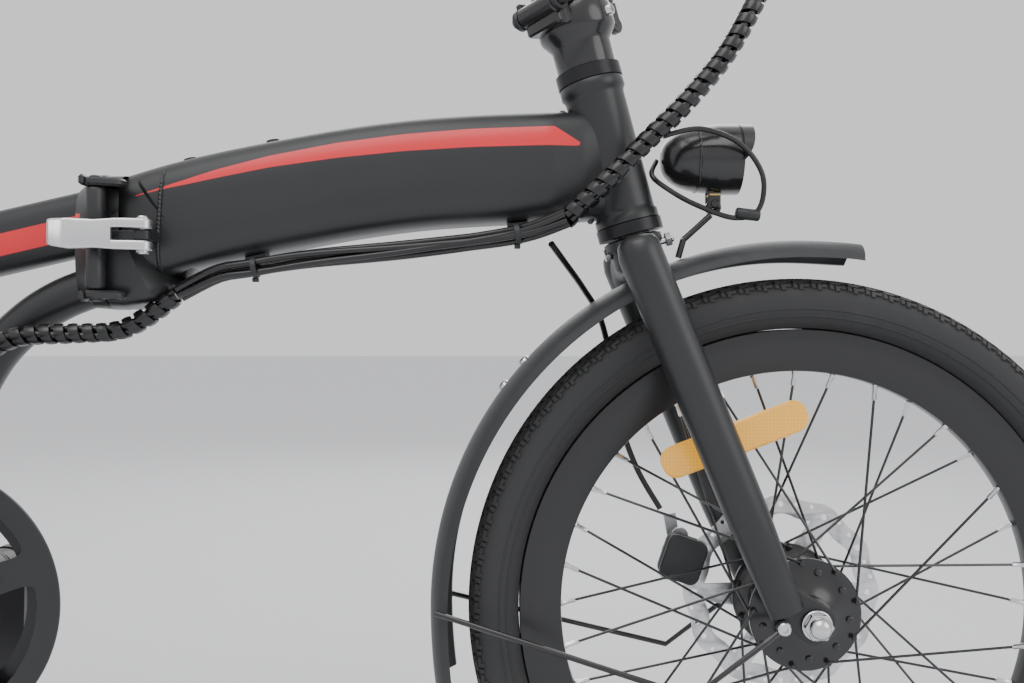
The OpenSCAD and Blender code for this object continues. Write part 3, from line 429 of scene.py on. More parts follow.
def grown(tree, values):
    """Plain mesh that a tree gives with these named input values."""
    holder = bpy.data.objects.new("holder", bpy.data.meshes.new("holder"))
    bpy.context.scene.collection.objects.link(holder)
    mod = holder.modifiers.new("nodes", "NODES")
    mod.node_group = tree
    for s in tree.interface.items_tree:
        if s.in_out == "INPUT" and s.name in values:
            mod[s.identifier] = values[s.name]
    bpy.context.view_layer.update()
    me = bpy.data.meshes.new_from_object(holder.evaluated_get(bpy.context.evaluated_depsgraph_get()))
    bpy.data.objects.remove(holder)
    return me


def round_axle(item, count, centre, start=0.0, matter=None):
    """Mesh of copies of item, a mesh modelled at the axle, set round the axle at centre."""
    src = bpy.data.objects.new("item", item)
    bpy.context.scene.collection.objects.link(src)
    me = grown(wheel_tree(), {"Item": src, "Count": count, "Start": start, "Material": matter})
    me.transform(Matrix.Translation(centre * MM))
    bpy.data.objects.remove(src)
    return me


# ---------- Finishes ----------

MATERIALS = {}


def group_of(name, inputs, outputs):
    t = bpy.data.node_groups.new(name, "ShaderNodeTree")
    for label, default in inputs:
        t.interface.new_socket(label, in_out="INPUT", socket_type="NodeSocketFloat").default_value = default
    for label in outputs:
        t.interface.new_socket(label, in_out="OUTPUT", socket_type="NodeSocketFloat")
    return t, t.nodes.new("NodeGroupInput"), t.nodes.new("NodeGroupOutput")


def noise(t, coord, scale, detail=4.0, rough=0.55):
    n = t.nodes.new("ShaderNodeTexNoise")
    n.inputs["Detail"].default_value = detail
    n.inputs["Roughness"].default_value = rough
    if isinstance(scale, (int, float)):
        n.inputs["Scale"].default_value = scale
    else:
        t.links.new(scale, n.inputs["Scale"])
    t.links.new(coord, n.inputs["Vector"])
    return n.outputs["Fac"]


def calc(t, op, a, b=None, clamp=False):
    n = t.nodes.new("ShaderNodeMath")
    n.operation = op
    n.use_clamp = clamp
    for k, v in enumerate((a, b)):
        if v is None:
            continue
        if isinstance(v, (int, float)):
            n.inputs[k].default_value = v
        else:
            t.links.new(v, n.inputs[k])
    return n.outputs[0]


def ramp(t, value, lo, hi):
    n = t.nodes.new("ShaderNodeMapRange")
    n.inputs["From Min"].default_value = lo
    n.inputs["From Max"].default_value = hi
    t.links.new(value, n.inputs["Value"])
    return n.outputs["Result"]


def grain_group():
    """Fine surface grain with slow patches, for paint, plastic and rubber."""
    if "Surface grain" in bpy.data.node_groups:
        return bpy.data.node_groups["Surface grain"]
    t, i, o = group_of("Surface grain", [("Scale", 900.0), ("Patch scale", 9.0)], ["Grain", "Patches"])
    co = t.nodes.new("ShaderNodeTexCoord").outputs["Object"]
    t.links.new(noise(t, co, i.outputs["Scale"], 3.0, 0.6), o.inputs["Grain"])
    t.links.new(ramp(t, noise(t, co, i.outputs["Patch scale"], 5.0), 0.3, 0.7), o.inputs["Patches"])
    return t


def dust_group():
    """Light dust on faces that look up, broken up by noise."""
    if "Settled dust" in bpy.data.node_groups:
        return bpy.data.node_groups["Settled dust"]
    t, i, o = group_of("Settled dust", [("Amount", 0.2)], ["Dust"])
    geo = t.nodes.new("ShaderNodeNewGeometry")
    split = t.nodes.new("ShaderNodeSeparateXYZ")
    t.links.new(geo.outputs["Normal"], split.inputs[0])
    co = t.nodes.new("ShaderNodeTexCoord").outputs["Object"]
    top = ramp(t, split.outputs["Z"], 0.2, 1.0)
    speck = ramp(t, noise(t, co, 60.0, 8.0, 0.7), 0.42, 0.75)
    t.links.new(calc(t, "MULTIPLY", calc(t, "MULTIPLY", top, speck), i.outputs["Amount"]), o.inputs["Dust"])
    return t


def wear_group():
    """Small rubbed spots and hairline scratches."""
    if "Handling wear" in bpy.data.node_groups:
        return bpy.data.node_groups["Handling wear"]
    t, i, o = group_of("Handling wear", [("Scale", 30.0), ("Amount", 0.3)], ["Wear", "Scratch"])
    co = t.nodes.new("ShaderNodeTexCoord").outputs["Object"]
    stretch = t.nodes.new("ShaderNodeMapping")
    stretch.inputs["Scale"].default_value = (1.0, 6.0, 14.0)
    stretch.inputs["Rotation"].default_value = (0.4, 0.7, 0.2)
    t.links.new(co, stretch.inputs["Vector"])
    spots = ramp(t, noise(t, co, i.outputs["Scale"], 8.0, 0.7), 0.6, 0.8)
    lines = ramp(t, noise(t, stretch.outputs[0], i.outputs["Scale"], 6.0, 0.8), 0.62, 0.72)
    t.links.new(calc(t, "MULTIPLY", spots, i.outputs["Amount"]), o.inputs["Wear"])
    t.links.new(calc(t, "MULTIPLY", lines, i.outputs["Amount"]), o.inputs["Scratch"])
    return t


def mix_colour(t, fac, a, b):
    n = t.nodes.new("ShaderNodeMix")
    n.data_type = "RGBA"
    for key, v in (("Factor", fac), ("A", a), ("B", b)):
        s = [q for q in n.inputs if q.name == key and q.enabled and q.type in ("VALUE", "RGBA")]
        s = s[0] if key == "Factor" else [q for q in s if q.type == "RGBA"][0]
        if isinstance(v, (int, float)):
            s.default_value = v
        elif isinstance(v, (tuple, list)):
            s.default_value = (*v[:3], 1)
        else:
            t.links.new(v, s)
    return [q for q in n.outputs if q.type == "RGBA"][0]


def finish(name, colour, rough, metal=0.0, grain=900.0, bump=0.05, patch=0.12, dust=0.06, wear=0.15,
           bright=None, extra=None, **sockets):
    """Registers a finish that is built the first time a piece asks for it."""
    def build():
        if name in bpy.data.materials:
            return bpy.data.materials[name]
        m = bpy.data.materials.new(name)
        m.use_nodes = True
        m.diffuse_color = (*colour, 1)
        t = m.node_tree
        p = t.nodes["Principled BSDF"]
        g = t.nodes.new("ShaderNodeGroup")
        g.node_tree = grain_group()
        g.inputs["Scale"].default_value = grain
        d = t.nodes.new("ShaderNodeGroup")
        d.node_tree = dust_group()
        d.inputs["Amount"].default_value = dust
        w = t.nodes.new("ShaderNodeGroup")
        w.node_tree = wear_group()
        w.inputs["Amount"].default_value = wear
        lift = bright or tuple(min(1, c * 1.6 + 0.012) for c in colour)
        base = mix_colour(t, calc(t, "MULTIPLY", g.outputs["Patches"], patch), colour, lift)
        base = mix_colour(t, w.outputs["Wear"], base, lift)
        height = g.outputs["Grain"]
        roughness = calc(t, "ADD", calc(t, "MULTIPLY", g.outputs["Patches"], 0.08), rough - 0.04)
        roughness = calc(t, "ADD", roughness, calc(t, "MULTIPLY", w.outputs["Scratch"], 0.25), True)
        if extra:
            base, roughness, height = extra(t, base, roughness, height)
        base = mix_colour(t, d.outputs["Dust"], base, (0.42, 0.40, 0.38))
        t.links.new(base, p.inputs["Base Color"])
        t.links.new(roughness, p.inputs["Roughness"])
        p.inputs["Metallic"].default_value = metal
        b = t.nodes.new("ShaderNodeBump")
        b.inputs["Strength"].default_value = bump
        b.inputs["Distance"].default_value = 0.0004
        t.links.new(height, b.inputs["Height"])
        t.links.new(b.outputs[0], p.inputs["Normal"])
        for k, v in sockets.items():
            p.inputs[k.replace("_", " ")].default_value = v
        return m
    MATERIALS[name] = build


def attribute(t, name):
    n = t.nodes.new("ShaderNodeAttribute")
    n.attribute_name = name
    return n.outputs["Fac"]


def stripe(t, base, roughness, height):
    """Red stripe where the mesh's own stripe value is above zero."""
    mask = ramp(t, attribute(t, "stripe"), -0.0002, 0.0002)
    red = mix_colour(t, mask, base, RED)
    return red, calc(t, "SUBTRACT", roughness, calc(t, "MULTIPLY", mask, 0.12), True), height


def brushed(t, base, roughness, height):
    """Fine lines from machining."""
    co = t.nodes.new("ShaderNodeTexCoord").outputs["Object"]
    m = t.nodes.new("ShaderNodeMapping")
    m.inputs["Scale"].default_value = (40.0, 40.0, 900.0)
    t.links.new(co, m.inputs["Vector"])
    lines = noise(t, m.outputs[0], 3.0, 3.0)
    return base, calc(t, "ADD", roughness, calc(t, "MULTIPLY", lines, 0.12), True), calc(t, "ADD", height, lines)


def leather(t, base, roughness, height):
    co = t.nodes.new("ShaderNodeTexCoord").outputs["Object"]
    v = t.nodes.new("ShaderNodeTexVoronoi")
    v.feature = "DISTANCE_TO_EDGE"
    v.inputs["Scale"].default_value = 420.0
    t.links.new(co, v.inputs["Vector"])
    cells = ramp(t, v.outputs["Distance"], 0.0, 0.12)
    # The creases between the grain cells are painted near black: painted shade in the recesses that the bump makes.
    base = mix_colour(t, cells, (0.008, 0.008, 0.009), base)
    return base, calc(t, "SUBTRACT", roughness, calc(t, "MULTIPLY", cells, 0.08), True), cells


def prism(t, base, roughness, height):
    """Small cube-corner cells of a reflector; the outer part of each cell is painted a brighter orange as a painted
    glint.
    """
    co = t.nodes.new("ShaderNodeTexCoord").outputs["Object"]
    v = t.nodes.new("ShaderNodeTexVoronoi")
    v.distance = "CHEBYCHEV"
    v.inputs["Scale"].default_value = 380.0
    v.inputs["Randomness"].default_value = 0.0
    t.links.new(co, v.inputs["Vector"])
    glint_mask = ramp(t, v.outputs["Distance"], 0.0, 0.6)
    # Painted glint: the outer part of each cell is mixed towards a brighter orange.
    base = mix_colour(t, glint_mask, base, tuple(min(1, 1.5 * c) for c in (0.95, 0.42, 0.05)))
    return base, roughness, v.outputs["Distance"]


RED = (0.80, 0.022, 0.032)
finish("Satin black paint", (0.013, 0.0135, 0.0145), 0.40, bump=0.10, patch=0.25, dust=0.025, wear=0.04,
       Coat_Weight=0.25, Coat_Roughness=0.35)
finish("Striped satin paint", (0.013, 0.0135, 0.0145), 0.40, bump=0.10, patch=0.25, dust=0.025, wear=0.04,
       extra=stripe, Coat_Weight=0.25, Coat_Roughness=0.35)
finish("Gloss black metal", (0.010, 0.010, 0.011), 0.26, bump=0.04, dust=0.03, wear=0.08,
       Coat_Weight=0.5, Coat_Roughness=0.15)
finish("Black oxide steel", (0.030, 0.030, 0.032), 0.34, 0.75, bump=0.05, dust=0.02)
finish("Moulded plastic", (0.020, 0.021, 0.023), 0.48, grain=700.0, bump=0.14, dust=0.04, wear=0.03)
finish("Fender plastic", (0.026, 0.0275, 0.030), 0.46, grain=520.0, bump=0.12, dust=0.05, wear=0.03)
finish("Tyre rubber", (0.030, 0.0305, 0.032), 0.78, grain=500.0, bump=0.35, dust=0.10, wear=0.2,
       bright=(0.075, 0.073, 0.070))
finish("Tread rubber", (0.036, 0.0365, 0.038), 0.82, grain=420.0, bump=0.45, dust=0.12, wear=0.3,
       bright=(0.085, 0.083, 0.080))
finish("Rim paint", (0.009, 0.009, 0.010), 0.33, bump=0.06, dust=0.02, wear=0.05,
       Coat_Weight=0.3, Coat_Roughness=0.25)
finish("Cable jacket", (0.007, 0.007, 0.008), 0.30, bump=0.05, dust=0.02, wear=0.05, Coat_Weight=0.3,
       Coat_Roughness=0.2)
finish("Grip rubber", (0.014, 0.014, 0.015), 0.70, grain=600.0, bump=0.35, dust=0.04)
finish("Polished alloy", (0.80, 0.80, 0.81), 0.20, 1.0, bump=0.04, patch=0.15, dust=0.0, wear=0.25,
       bright=(0.62, 0.62, 0.63), extra=brushed)
finish("Cast alloy", (0.52, 0.52, 0.54), 0.38, 1.0, bump=0.15, patch=0.3, dust=0.01, bright=(0.36, 0.36, 0.37))
finish("Bright steel", (0.72, 0.72, 0.73), 0.22, 1.0, bump=0.04, patch=0.2, dust=0.0, bright=(0.55, 0.55, 0.56))
finish("Rotor steel", (0.78, 0.78, 0.79), 0.24, 1.0, bump=0.06, patch=0.1, dust=0.0,
       bright=(0.62, 0.61, 0.60), extra=brushed)
finish("Chain steel", (0.20, 0.19, 0.18), 0.36, 0.9, bump=0.1, patch=0.4, dust=0.0, bright=(0.08, 0.07, 0.06))
finish("Black alloy", (0.018, 0.018, 0.020), 0.36, 0.4, bump=0.05, dust=0.02, wear=0.12,
       Coat_Weight=0.2, Coat_Roughness=0.3)
finish("Saddle cover", (0.017, 0.017, 0.018), 0.52, bump=0.45, dust=0.03, extra=leather)
# The amber reflector gets a faint orange emission of its own and glows though it is no lamp: painted light.
finish("Amber reflector", (0.95, 0.33, 0.012), 0.16, bump=0.5, patch=0.05, dust=0.0, wear=0.0,
       bright=(1.0, 0.5, 0.05), extra=prism, Coat_Weight=1.0, Coat_Roughness=0.04,
       Emission_Color=(1.0, 0.35, 0.02, 1), Emission_Strength=0.22)
finish("Grey reflector", (0.42, 0.43, 0.44), 0.28, 0.5, bump=0.3, extra=prism)
finish("Red lens", (0.55, 0.012, 0.014), 0.14, bump=0.3, wear=0.0, Coat_Weight=1.0, Coat_Roughness=0.05)
finish("Lamp reflector", (0.9, 0.9, 0.9), 0.08, 1.0, bump=0.02, dust=0.0, wear=0.0)
finish("Clear lens", (0.93, 0.95, 0.96), 0.05, bump=0.03, patch=0.02, dust=0.0, wear=0.0,
       Transmission_Weight=0.92, IOR=1.49)
finish("Key red", (0.60, 0.02, 0.02), 0.35, bump=0.08)
finish("Battery case", (0.06, 0.06, 0.065), 0.4, 0.3, bump=0.1)
finish("Pale floor", (0.74, 0.745, 0.76), 0.62, grain=30.0, bump=0.01, patch=0.02, dust=0.0, wear=0.0,
       bright=(0.78, 0.785, 0.80))


# ---------- What a user may change ----------

class WheelLooks(bpy.types.PropertyGroup):
    """Looks of both wheels."""
    tread_blocks: bpy.props.IntProperty(
        name="Tread pitches", description="Repeats of the tread round each tyre", default=112, min=40, max=160)
    tread_depth: bpy.props.FloatProperty(
        name="Tread depth", description="Height of the tread blocks", default=0.0016, min=0.0005, max=0.004,
        unit="LENGTH")
    spoke_radius: bpy.props.FloatProperty(
        name="Spoke radius", description="Radius of a spoke", default=0.00105, min=0.0008, max=0.0015,
        unit="LENGTH")
    nipple_length: bpy.props.FloatProperty(
        name="Nipple length", description="Shown length of a spoke's nipple", default=0.012, min=0.006,
        max=0.016, unit="LENGTH")


class CableLooks(bpy.types.PropertyGroup):
    """Looks of the cable bundle and its spiral wrap."""
    wrap_pitch: bpy.props.FloatProperty(
        name="Wrap pitch", description="Distance between turns of the spiral wrap", default=0.0105, min=0.006,
        max=0.02, unit="LENGTH")
    cable_radius: bpy.props.FloatProperty(
        name="Cable radius", description="Radius of one cable in the bundle", default=0.0026, min=0.0015,
        max=0.004, unit="LENGTH")
    cables: bpy.props.IntProperty(
        name="Cables", description="Cables in the bundle under the beam", default=6, min=3, max=8)


class SaddleLooks(bpy.types.PropertyGroup):
    """Looks of the saddle."""
    fullness: bpy.props.FloatProperty(
        name="Fullness", description="How tight the padding is, from slack to full", default=0.7, min=0.0,
        max=1.0, subtype="FACTOR")
    swell: bpy.props.FloatProperty(
        name="Swell", description="Most that the padding may rise from its base shape", default=0.004,
        min=0.0, max=0.01, unit="LENGTH")


class StageLooks(bpy.types.PropertyGroup):
    """Light and camera."""
    lens: bpy.props.FloatProperty(
        name="Lens", description="Focal length of the camera", default=34.4, min=20, max=85,
        unit="CAMERA")
    key_power: bpy.props.FloatProperty(
        name="Key light", description="Power of the large overhead light", default=42.0, min=5, max=200,
        unit="POWER")
    backdrop: bpy.props.FloatVectorProperty(
        name="Backdrop", description="Colour of the light all round", default=(0.93, 0.935, 0.95),
        subtype="COLOR", size=3, min=0, max=1)


class Maker(bpy.types.Operator):
    """Base of the operators; each builds one group of pieces."""
    bl_options = {"REGISTER", "UNDO"}

    def execute(self, context):
        self.build(context.scene)
        return {"FINISHED"}


# ---------- Wheels ----------

def tyre_point(u, phi, lift):
    """Place on the tyre's outside: u along the tread, phi across it in degrees, lift off it."""
    p = math.radians(phi)
    flat = 0.72 if abs(phi) < 90 else 1.0
    c, s = math.cos(p), math.sin(p)
    r = 231 + (20.2 + lift) * math.copysign(abs(c) ** flat, c)
    y = (23.4 + lift) * s
    a = u / TYRE_R
    return Vector((r * math.cos(a), y, r * math.sin(a)))


def tread_item(pitch, depth):
    """Blocks of one tread pitch, modelled at the axle."""
    s = Shape()
    g = pitch
    rows = [
        [(-0.44, -9), (0.40, -9), (0.46, -1.5), (-0.38, -1.5)],
        [(0.06, 9), (0.90, 9), (0.96, 1.5), (0.12, 1.5)],
        [(-0.42, 12), (0.40, 12), (0.34, 24), (-0.48, 24)],
        [(0.08, -12), (0.90, -12), (0.84, -24), (0.02, -24)],
    ]
    for side in (-1, 1):
        rows += [
            [(-0.46, 27 * side), (0.38, 27 * side), (0.38, 41 * side), (-0.20, 41 * side), (-0.20, 34 * side),
             (-0.46, 34 * side)],
            [(-0.44, 45 * side), (0.12, 45 * side), (0.12, 62 * side), (-0.10, 62 * side), (-0.10, 54 * side),
             (-0.44, 54 * side)],
            [(0.22, 44 * side), (0.44, 44 * side), (0.44, 58 * side), (0.22, 58 * side)],
        ]
    for row in rows:
        fine = []
        for k, (u, phi) in enumerate(row):
            u1, phi1 = row[(k + 1) % len(row)]
            n = max(1, int(abs(phi1 - phi) // 6))
            fine += [(u + (u1 - u) * j / n, phi + (phi1 - phi) * j / n) for j in range(n)]
        cu = sum(q[0] for q in fine) / len(fine)
        cp = sum(q[1] for q in fine) / len(fine)
        shrink = 0.93
        verts = [tyre_point(u * g, phi, -0.4) for u, phi in fine]
        verts += [tyre_point((cu + (u - cu) * shrink) * g, cp + (phi - cp) * shrink, depth) for u, phi in fine]
        n = len(fine)
        faces = [(k, (k + 1) % n, n + (k + 1) % n, n + k) for k in range(n)] + [tuple(n + k for k in range(n))]
        s.add(verts, faces, smooth=False)
    return s.mesh("tread", 20)


def tyre_mesh(axle, looks):
    s = Shape()
    outer = []
    for phi in list(range(-128, -27, 4)) + list(range(-24, 25, 4)) + list(range(28, 129, 4)):
        p = tyre_point(0, phi, 0)
        outer.append((p.x, p.y))
    ring = [(RIM_R - 1, -9.5), (RIM_R - 0.5, -13.4)] + outer + [(RIM_R - 0.5, 13.4), (RIM_R - 1, 9.5)]
    ring += [(RIM_R + 6, 11.5), (228, 18), (240, 14), (246, 0), (240, -14), (228, -18), (RIM_R + 6, -11.5)]
    s.turn(axle, Y, ring + [ring[0]], 160)
    # Moulded lines low on both side walls
    for side in (-1, 1):
        for phi, h in ((96, 0.5), (112, 0.7)):
            rows = [tyre_point(0, side * (phi + d), lift) for d, lift in ((-2.2, -0.2), (-1, h), (1, h), (2.2, -0.2))]
            s.turn(axle, Y, [(p.x, p.y) for p in rows], 160)
    count = looks.tread_blocks
    s.index = 1
    s.take(round_axle(tread_item(TAU * TYRE_R / count, looks.tread_depth / MM), count, axle))
    return s.mesh("tyre", 40)


def spoke_meshes(axle, flange_r, flange_y, looks):
    """One group of four crossed spokes, then all of them round the axle."""
    tip_r = RIM_R - RIM_DEPTH
    lead = math.radians(55)
    rods, nips = Shape(), Shape()
    for i in range(4):
        side = 1 if i % 2 == 0 else -1
        way = 1 if i < 2 else -1
        a = TAU * i / 36
        b = a + way * lead
        tip = Vector((tip_r * math.cos(a), side * 3, tip_r * math.sin(a)))
        root = Vector((flange_r * math.cos(b), side * flange_y + way * 2.4, flange_r * math.sin(b)))
        r = looks.spoke_radius / MM
        rods.pin(root, tip, r, 0.2, 8)
        rods.pin(root - Y * 3, root + Y * 3, r, 0.3, 8)
        rods.turn(root + Y * 3 * way, Y * way, [(2.1, 0), (1.7, 0.9), (0, 1.2)], 10)
        d = (tip - root).normalized()
        length = looks.nipple_length / MM
        nips.turn(tip - d * length, d, [(1.15, 0), (1.9, 0.8), (1.9, length - 3), (2.5, length - 2), (2.5, length)], 8)
    return [round_axle(rods.mesh("rods"), 9, axle), round_axle(nips.mesh("nips"), 9, axle)]


def rotor_outline():
    """Wavy brake disc with its windows and drillings."""
    n = 240
    outer = [((78.2 + 1.7 * math.cos(12 * TAU * k / n)) * math.cos(TAU * k / n),
              (78.2 + 1.7 * math.cos(12 * TAU * k / n)) * math.sin(TAU * k / n)) for k in range(n)]
    holes = [circle(17, n=48)]
    for arm in range(6):
        a0 = TAU * arm / 6
        w = []
        for k in range(13):
            a = a0 + 0.12 + (TAU / 6 - 0.24) * k / 12
            r = 62.5 + 1.6 * math.cos(12 * a)
            w.append((r * math.cos(a), r * math.sin(a)))
        for k in range(9):
            a = a0 + 0.62 - (0.62 - 0.28) * k / 8 + 0.16
            w.append((29 * math.cos(a), 29 * math.sin(a)))
        holes.append(w)
        holes.append(circle(2.6, 23 * math.cos(a0 + 0.2), 23 * math.sin(a0 + 0.2), 12))
    for k in range(36):
        a = TAU * k / 36
        r = 72.5 if k % 3 else 70.5
        holes.append(circle(2.3 if k % 3 == 0 else 1.7, (r + 1.5 * (k % 2)) * math.cos(a),
                            (r + 1.5 * (k % 2)) * math.sin(a), 10))
    return outer, holes


def reflector(s, axle, a0, a1, r, y):
    """Amber reflector clipped to the spokes between two angles, its body then its clips."""
    a = (a0 + a1) / 2
    along = Vector((-math.sin(a), 0, math.cos(a)))
    mid = axle + Vector((math.cos(a), 0, math.sin(a))) * r
    s.index = 1
    out = rounded(118, 25, 11, 8)
    s.slab(mid + Y * y, Y * -1, out, 5.2, 1.6, Vector((math.cos(a), 0, math.sin(a))))
    s.index = 2
    s.slab(mid + Y * (y + 1.5), Y, rounded(20, 16, 3), 3.4, 0.6, along)
    s.turn(mid + Y * (y - 5.2), -Y, [(3.4, 0), (3.4, 0.8), (0, 1.2)], 20)
    for k in (-1, 1):
        s.slab(mid + along * k * 38 + Y * (y + 1), Y, rounded(9, 6, 1.5), 4, 0.5, along)


class BICYCLE_OT_tyres(Maker):
    """Both tyres with their tread."""
    bl_idname = "bicycle.tyres"
    bl_label = "Tyres"

    def build(self, scene):
        for name, axle, body in (("front_tyre", FRONT_AXLE, "front_wheel"), ("rear_tyre", REAR_AXLE, "rear_wheel")):
            place(name + "_treaded", tyre_mesh(axle, scene.wheel_looks), ["Tyre rubber", "Tread rubber"], body,
                  [name])


class BICYCLE_OT_spokes(Maker):
    """Spokes, nipples and the front wheel's reflector."""
    bl_idname = "bicycle.spokes"
    bl_label = "Spokes"

    def build(self, scene):
        for name, axle, body, fr, fy in (("front_spokes", FRONT_AXLE, "front_wheel", 39, 28),
                                         ("rear_spokes", REAR_AXLE, "rear_wheel", 61, 24)):
            s = Shape()
            for k, me in enumerate(spoke_meshes(axle, fr, fy, scene.wheel_looks)):
                s.index = k
                s.take(me)
            place(name + "_round", s.mesh(name), ["Gloss black metal", "Bright steel"], body, [name])
        s = Shape()
        reflector(s, FRONT_AXLE, math.radians(100), math.radians(122), 139, -13)
        place("spoke_reflector", s.mesh("spoke_reflector"), ["Amber reflector", "Amber reflector", "Moulded plastic"],
              "front_wheel")


class BICYCLE_OT_rims_and_hubs(Maker):
    """Rims, hubs and brake discs."""
    bl_idname = "bicycle.rims_and_hubs"
    bl_label = "Rims and hubs"

    def build(self, scene):
        for name, axle, body in (("front_rim", FRONT_AXLE, "front_wheel"), ("rear_rim", REAR_AXLE, "rear_wheel")):
            s = Shape()
            s.turn(axle, Y, [
                (RIM_R - 34, -4), (RIM_R - 33.6, -5.6), (RIM_R - 32, -6.6), (RIM_R - 16, -12.6), (RIM_R - 9, -13.8),
                (RIM_R - 2.2, -14), (RIM_R - 1.5, -13.2), (RIM_R - 1.5, -10.4), (RIM_R - 3, -9.8), (RIM_R - 9, -8),
                (RIM_R - 9, 8), (RIM_R - 3, 9.8), (RIM_R - 1.5, 10.4), (RIM_R - 1.5, 13.2), (RIM_R - 2.2, 14),
                (RIM_R - 9, 13.8), (RIM_R - 16, 12.6), (RIM_R - 32, 6.6), (RIM_R - 33.6, 5.6), (RIM_R - 34, 4),
                (RIM_R - 34, -4)], 192)
            # Valve through the rim
            a = math.radians(250)
            d = Vector((math.cos(a), 0, math.sin(a)))
            s.index = 1
            s.pin(axle + d * (RIM_R - 34), axle + d * (RIM_R - 58), 2.6, 0.4, 16)
            s.pin(axle + d * (RIM_R - 56), axle + d * (RIM_R - 72), 4.0, 1.0, 16)
            place(name + "_deep", s.mesh(name), ["Rim paint", "Moulded plastic"], body, [name])
        s = Shape()
        s.turn(FRONT_AXLE, Y, [
            (5.2, -46), (14, -46), (16.5, -44.5), (16.5, -36), (19, -34), (30, -31), (38, -30.2), (41.5, -30),
            (42, -29.4), (42, -26.6), (41.5, -26), (36, -25.6), (30, -22), (27, -16), (26, 0), (27, 16), (30, 22),
            (36, 25.6), (41.5, 26), (42, 26.6), (42, 29.4), (41.5, 30), (34, 31), (28, 36.6), (17, 37), (16.5, 44),
            (14, 46), (5.2, 46), (5.2, -46)], 72)
        bolt = Shape()
        bolt.turn(Vector((23, 38.2, 0)), Y, [(3.6, 0), (3.6, 1.4), (2.8, 2.0), (0, 2.0)], 12)
        s.index = 1
        s.take(round_axle(bolt.mesh("bolt"), 6, FRONT_AXLE, 0.2))
        cap = Shape()
        cap.turn(Vector((33, -31.6, 0)), -Y, [(2.6, -0.6), (2.6, 0.6), (1.8, 1.1), (0, 1.1)], 10)
        s.index = 0
        s.take(round_axle(cap.mesh("cap"), 9, FRONT_AXLE, 0.1))
        place("front_hub_flanged", s.mesh("front_hub"), ["Gloss black metal", "Bright steel"], "front_wheel",
              ["front_hub"])
        s = Shape()
        s.turn(REAR_AXLE, Y, [
            (6.3, -59), (15.6, -58.6), (15.9, -40), (30, -39), (40, -37), (46, -33.5), (56, -31), (62, -27.5),
            (65, -26), (65, -22), (60, -21), (58, -19), (58, 19), (60, 21), (65, 22), (65, 26), (62, 27.5),
            (56, 30), (44, 33.5), (30, 37), (28.8, 44.8), (17, 45.1), (16.8, 47.6), (6.3, 48), (6.3, -59)], 96)
        bolt = Shape()
        bolt.turn(Vector((50, 31.8, 0)), Y, [(3.2, -1.5), (3.2, 1.2), (2.4, 1.8), (0, 1.8)], 12)
        s.index = 1
        s.take(round_axle(bolt.mesh("bolt"), 9, REAR_AXLE))
        rib = Shape()
        rib.block((60, 0, 0), (5, 26, 2.4), 1.0, 0.5)
        s.index = 0
        s.take(round_axle(rib.mesh("rib"), 36, REAR_AXLE))
        place("hub_motor_cased", s.mesh("hub_motor"), ["Gloss black metal", "Bright steel"], "rear_wheel",
              ["hub_motor"])
        outer, holes = rotor_outline()
        for name, axle, body, y in (("front_rotor", FRONT_AXLE, "front_wheel", ROTOR_Y),
                                    ("rear_rotor", REAR_AXLE, "rear_wheel", REAR_ROTOR_Y)):
            s = Shape()
            s.take(plate_mesh(outer, holes, 1.8, 0.25), Matrix.Translation((axle + Y * y) * MM))
            place(name + "_wavy", s.mesh(name, 30), ["Rotor steel"], body, [name])


# ---------- Front frame ----------

BEAM = [(-508, 36, 41, 1), (-470, 47, 41.5, 1), (-430, 56, 42, 1), (-390, 64, 42, 1), (-340, 73, 42, 1),
        (-290, 79.5, 42, 1), (-240, 83, 42, 1), (-190, 85, 42, 0.97), (-165, 85.6, 41.5, 0.8), (-146, 86, 41, 0.6)]
# Stripe on the beam: behind the front axle, then its top and bottom above the wheel's top
STRIPE_TOP = [(-512, 56), (-475, 68), (-440, 79.5), (-400, 90), (-350, 99.6), (-300, 106), (-250, 110), (-187, 112.5),
              (-160, 96)]
STRIPE_LOW = [(-512, 55.9), (-475, 65.5), (-440, 73), (-400, 81), (-350, 88), (-300, 93), (-250, 96), (-200, 97.5),
              (-168, 98), (-160, 98)]


def set_stripe(mesh, depth):
    """Stores how far each point lies inside the stripe, in metres, below zero outside it."""
    att = mesh.attributes.new("stripe", "FLOAT", "POINT")
    att.data.foreach_set("value", [depth(v.co / MM) for v in mesh.vertices])


def beam_depth(p):
    x, z = p.x - FRONT_X, p.z - WHEEL_TOP
    top, low = lookup(STRIPE_TOP, x), lookup(STRIPE_LOW, x)
    return min(top - z, z - low, -(x + 168) + 0.9 * (z - 97), x + 500) * MM if abs(p.y) > 3 else -MM


def tail_depth(p):
    x, z = p.x - FRONT_X, p.z - WHEEL_TOP
    top, low = 47 + 0.235 * (x + 547), 30 + 0.235 * (x + 547)
    return min(top - z, z - low, -(x + 546) + 0.32 * (z - 30)) * MM if abs(p.y) > 3 else -MM


def hinge_flare(s, face_x, way, tube_ring, tube_at):
    """Casting from the joint face to the tube, its shoulder curved."""
    n = len(tube_ring)
    plate = []
    for k in range(n):
        a = TAU * k / n
        c, t = math.cos(a), math.sin(a)
        plate.append((36 * math.copysign(abs(c) ** 0.42, c), 50 * math.copysign(abs(t) ** 0.36, t)))
    path, rings = [], []
    base = Vector((face_x, -3, HINGE_Z))
    steps = [(0, 0, 0.97), (0.8, 0, 1.0), (11, 0, 1.0), (12, 0, 0.985)]
    for d, t, k in steps:
        path.append(base + X * way * d)
        rings.append([(q[0] * k * -way, q[1] * k) for q in plate])
    for t in (0.08, 0.2, 0.4, 0.6, 0.8, 1.0):
        e = t * t * (3 - 2 * t)
        path.append(mixed(base + X * way * 12, tube_at, t))
        rings.append([(mixed(p[0] * 0.97 * -way, q[0], e ** 0.55), mixed(p[1] * 0.97, q[1], e ** 0.6))
                      for p, q in zip(plate, tube_ring)])
    s.loft(path, rings)


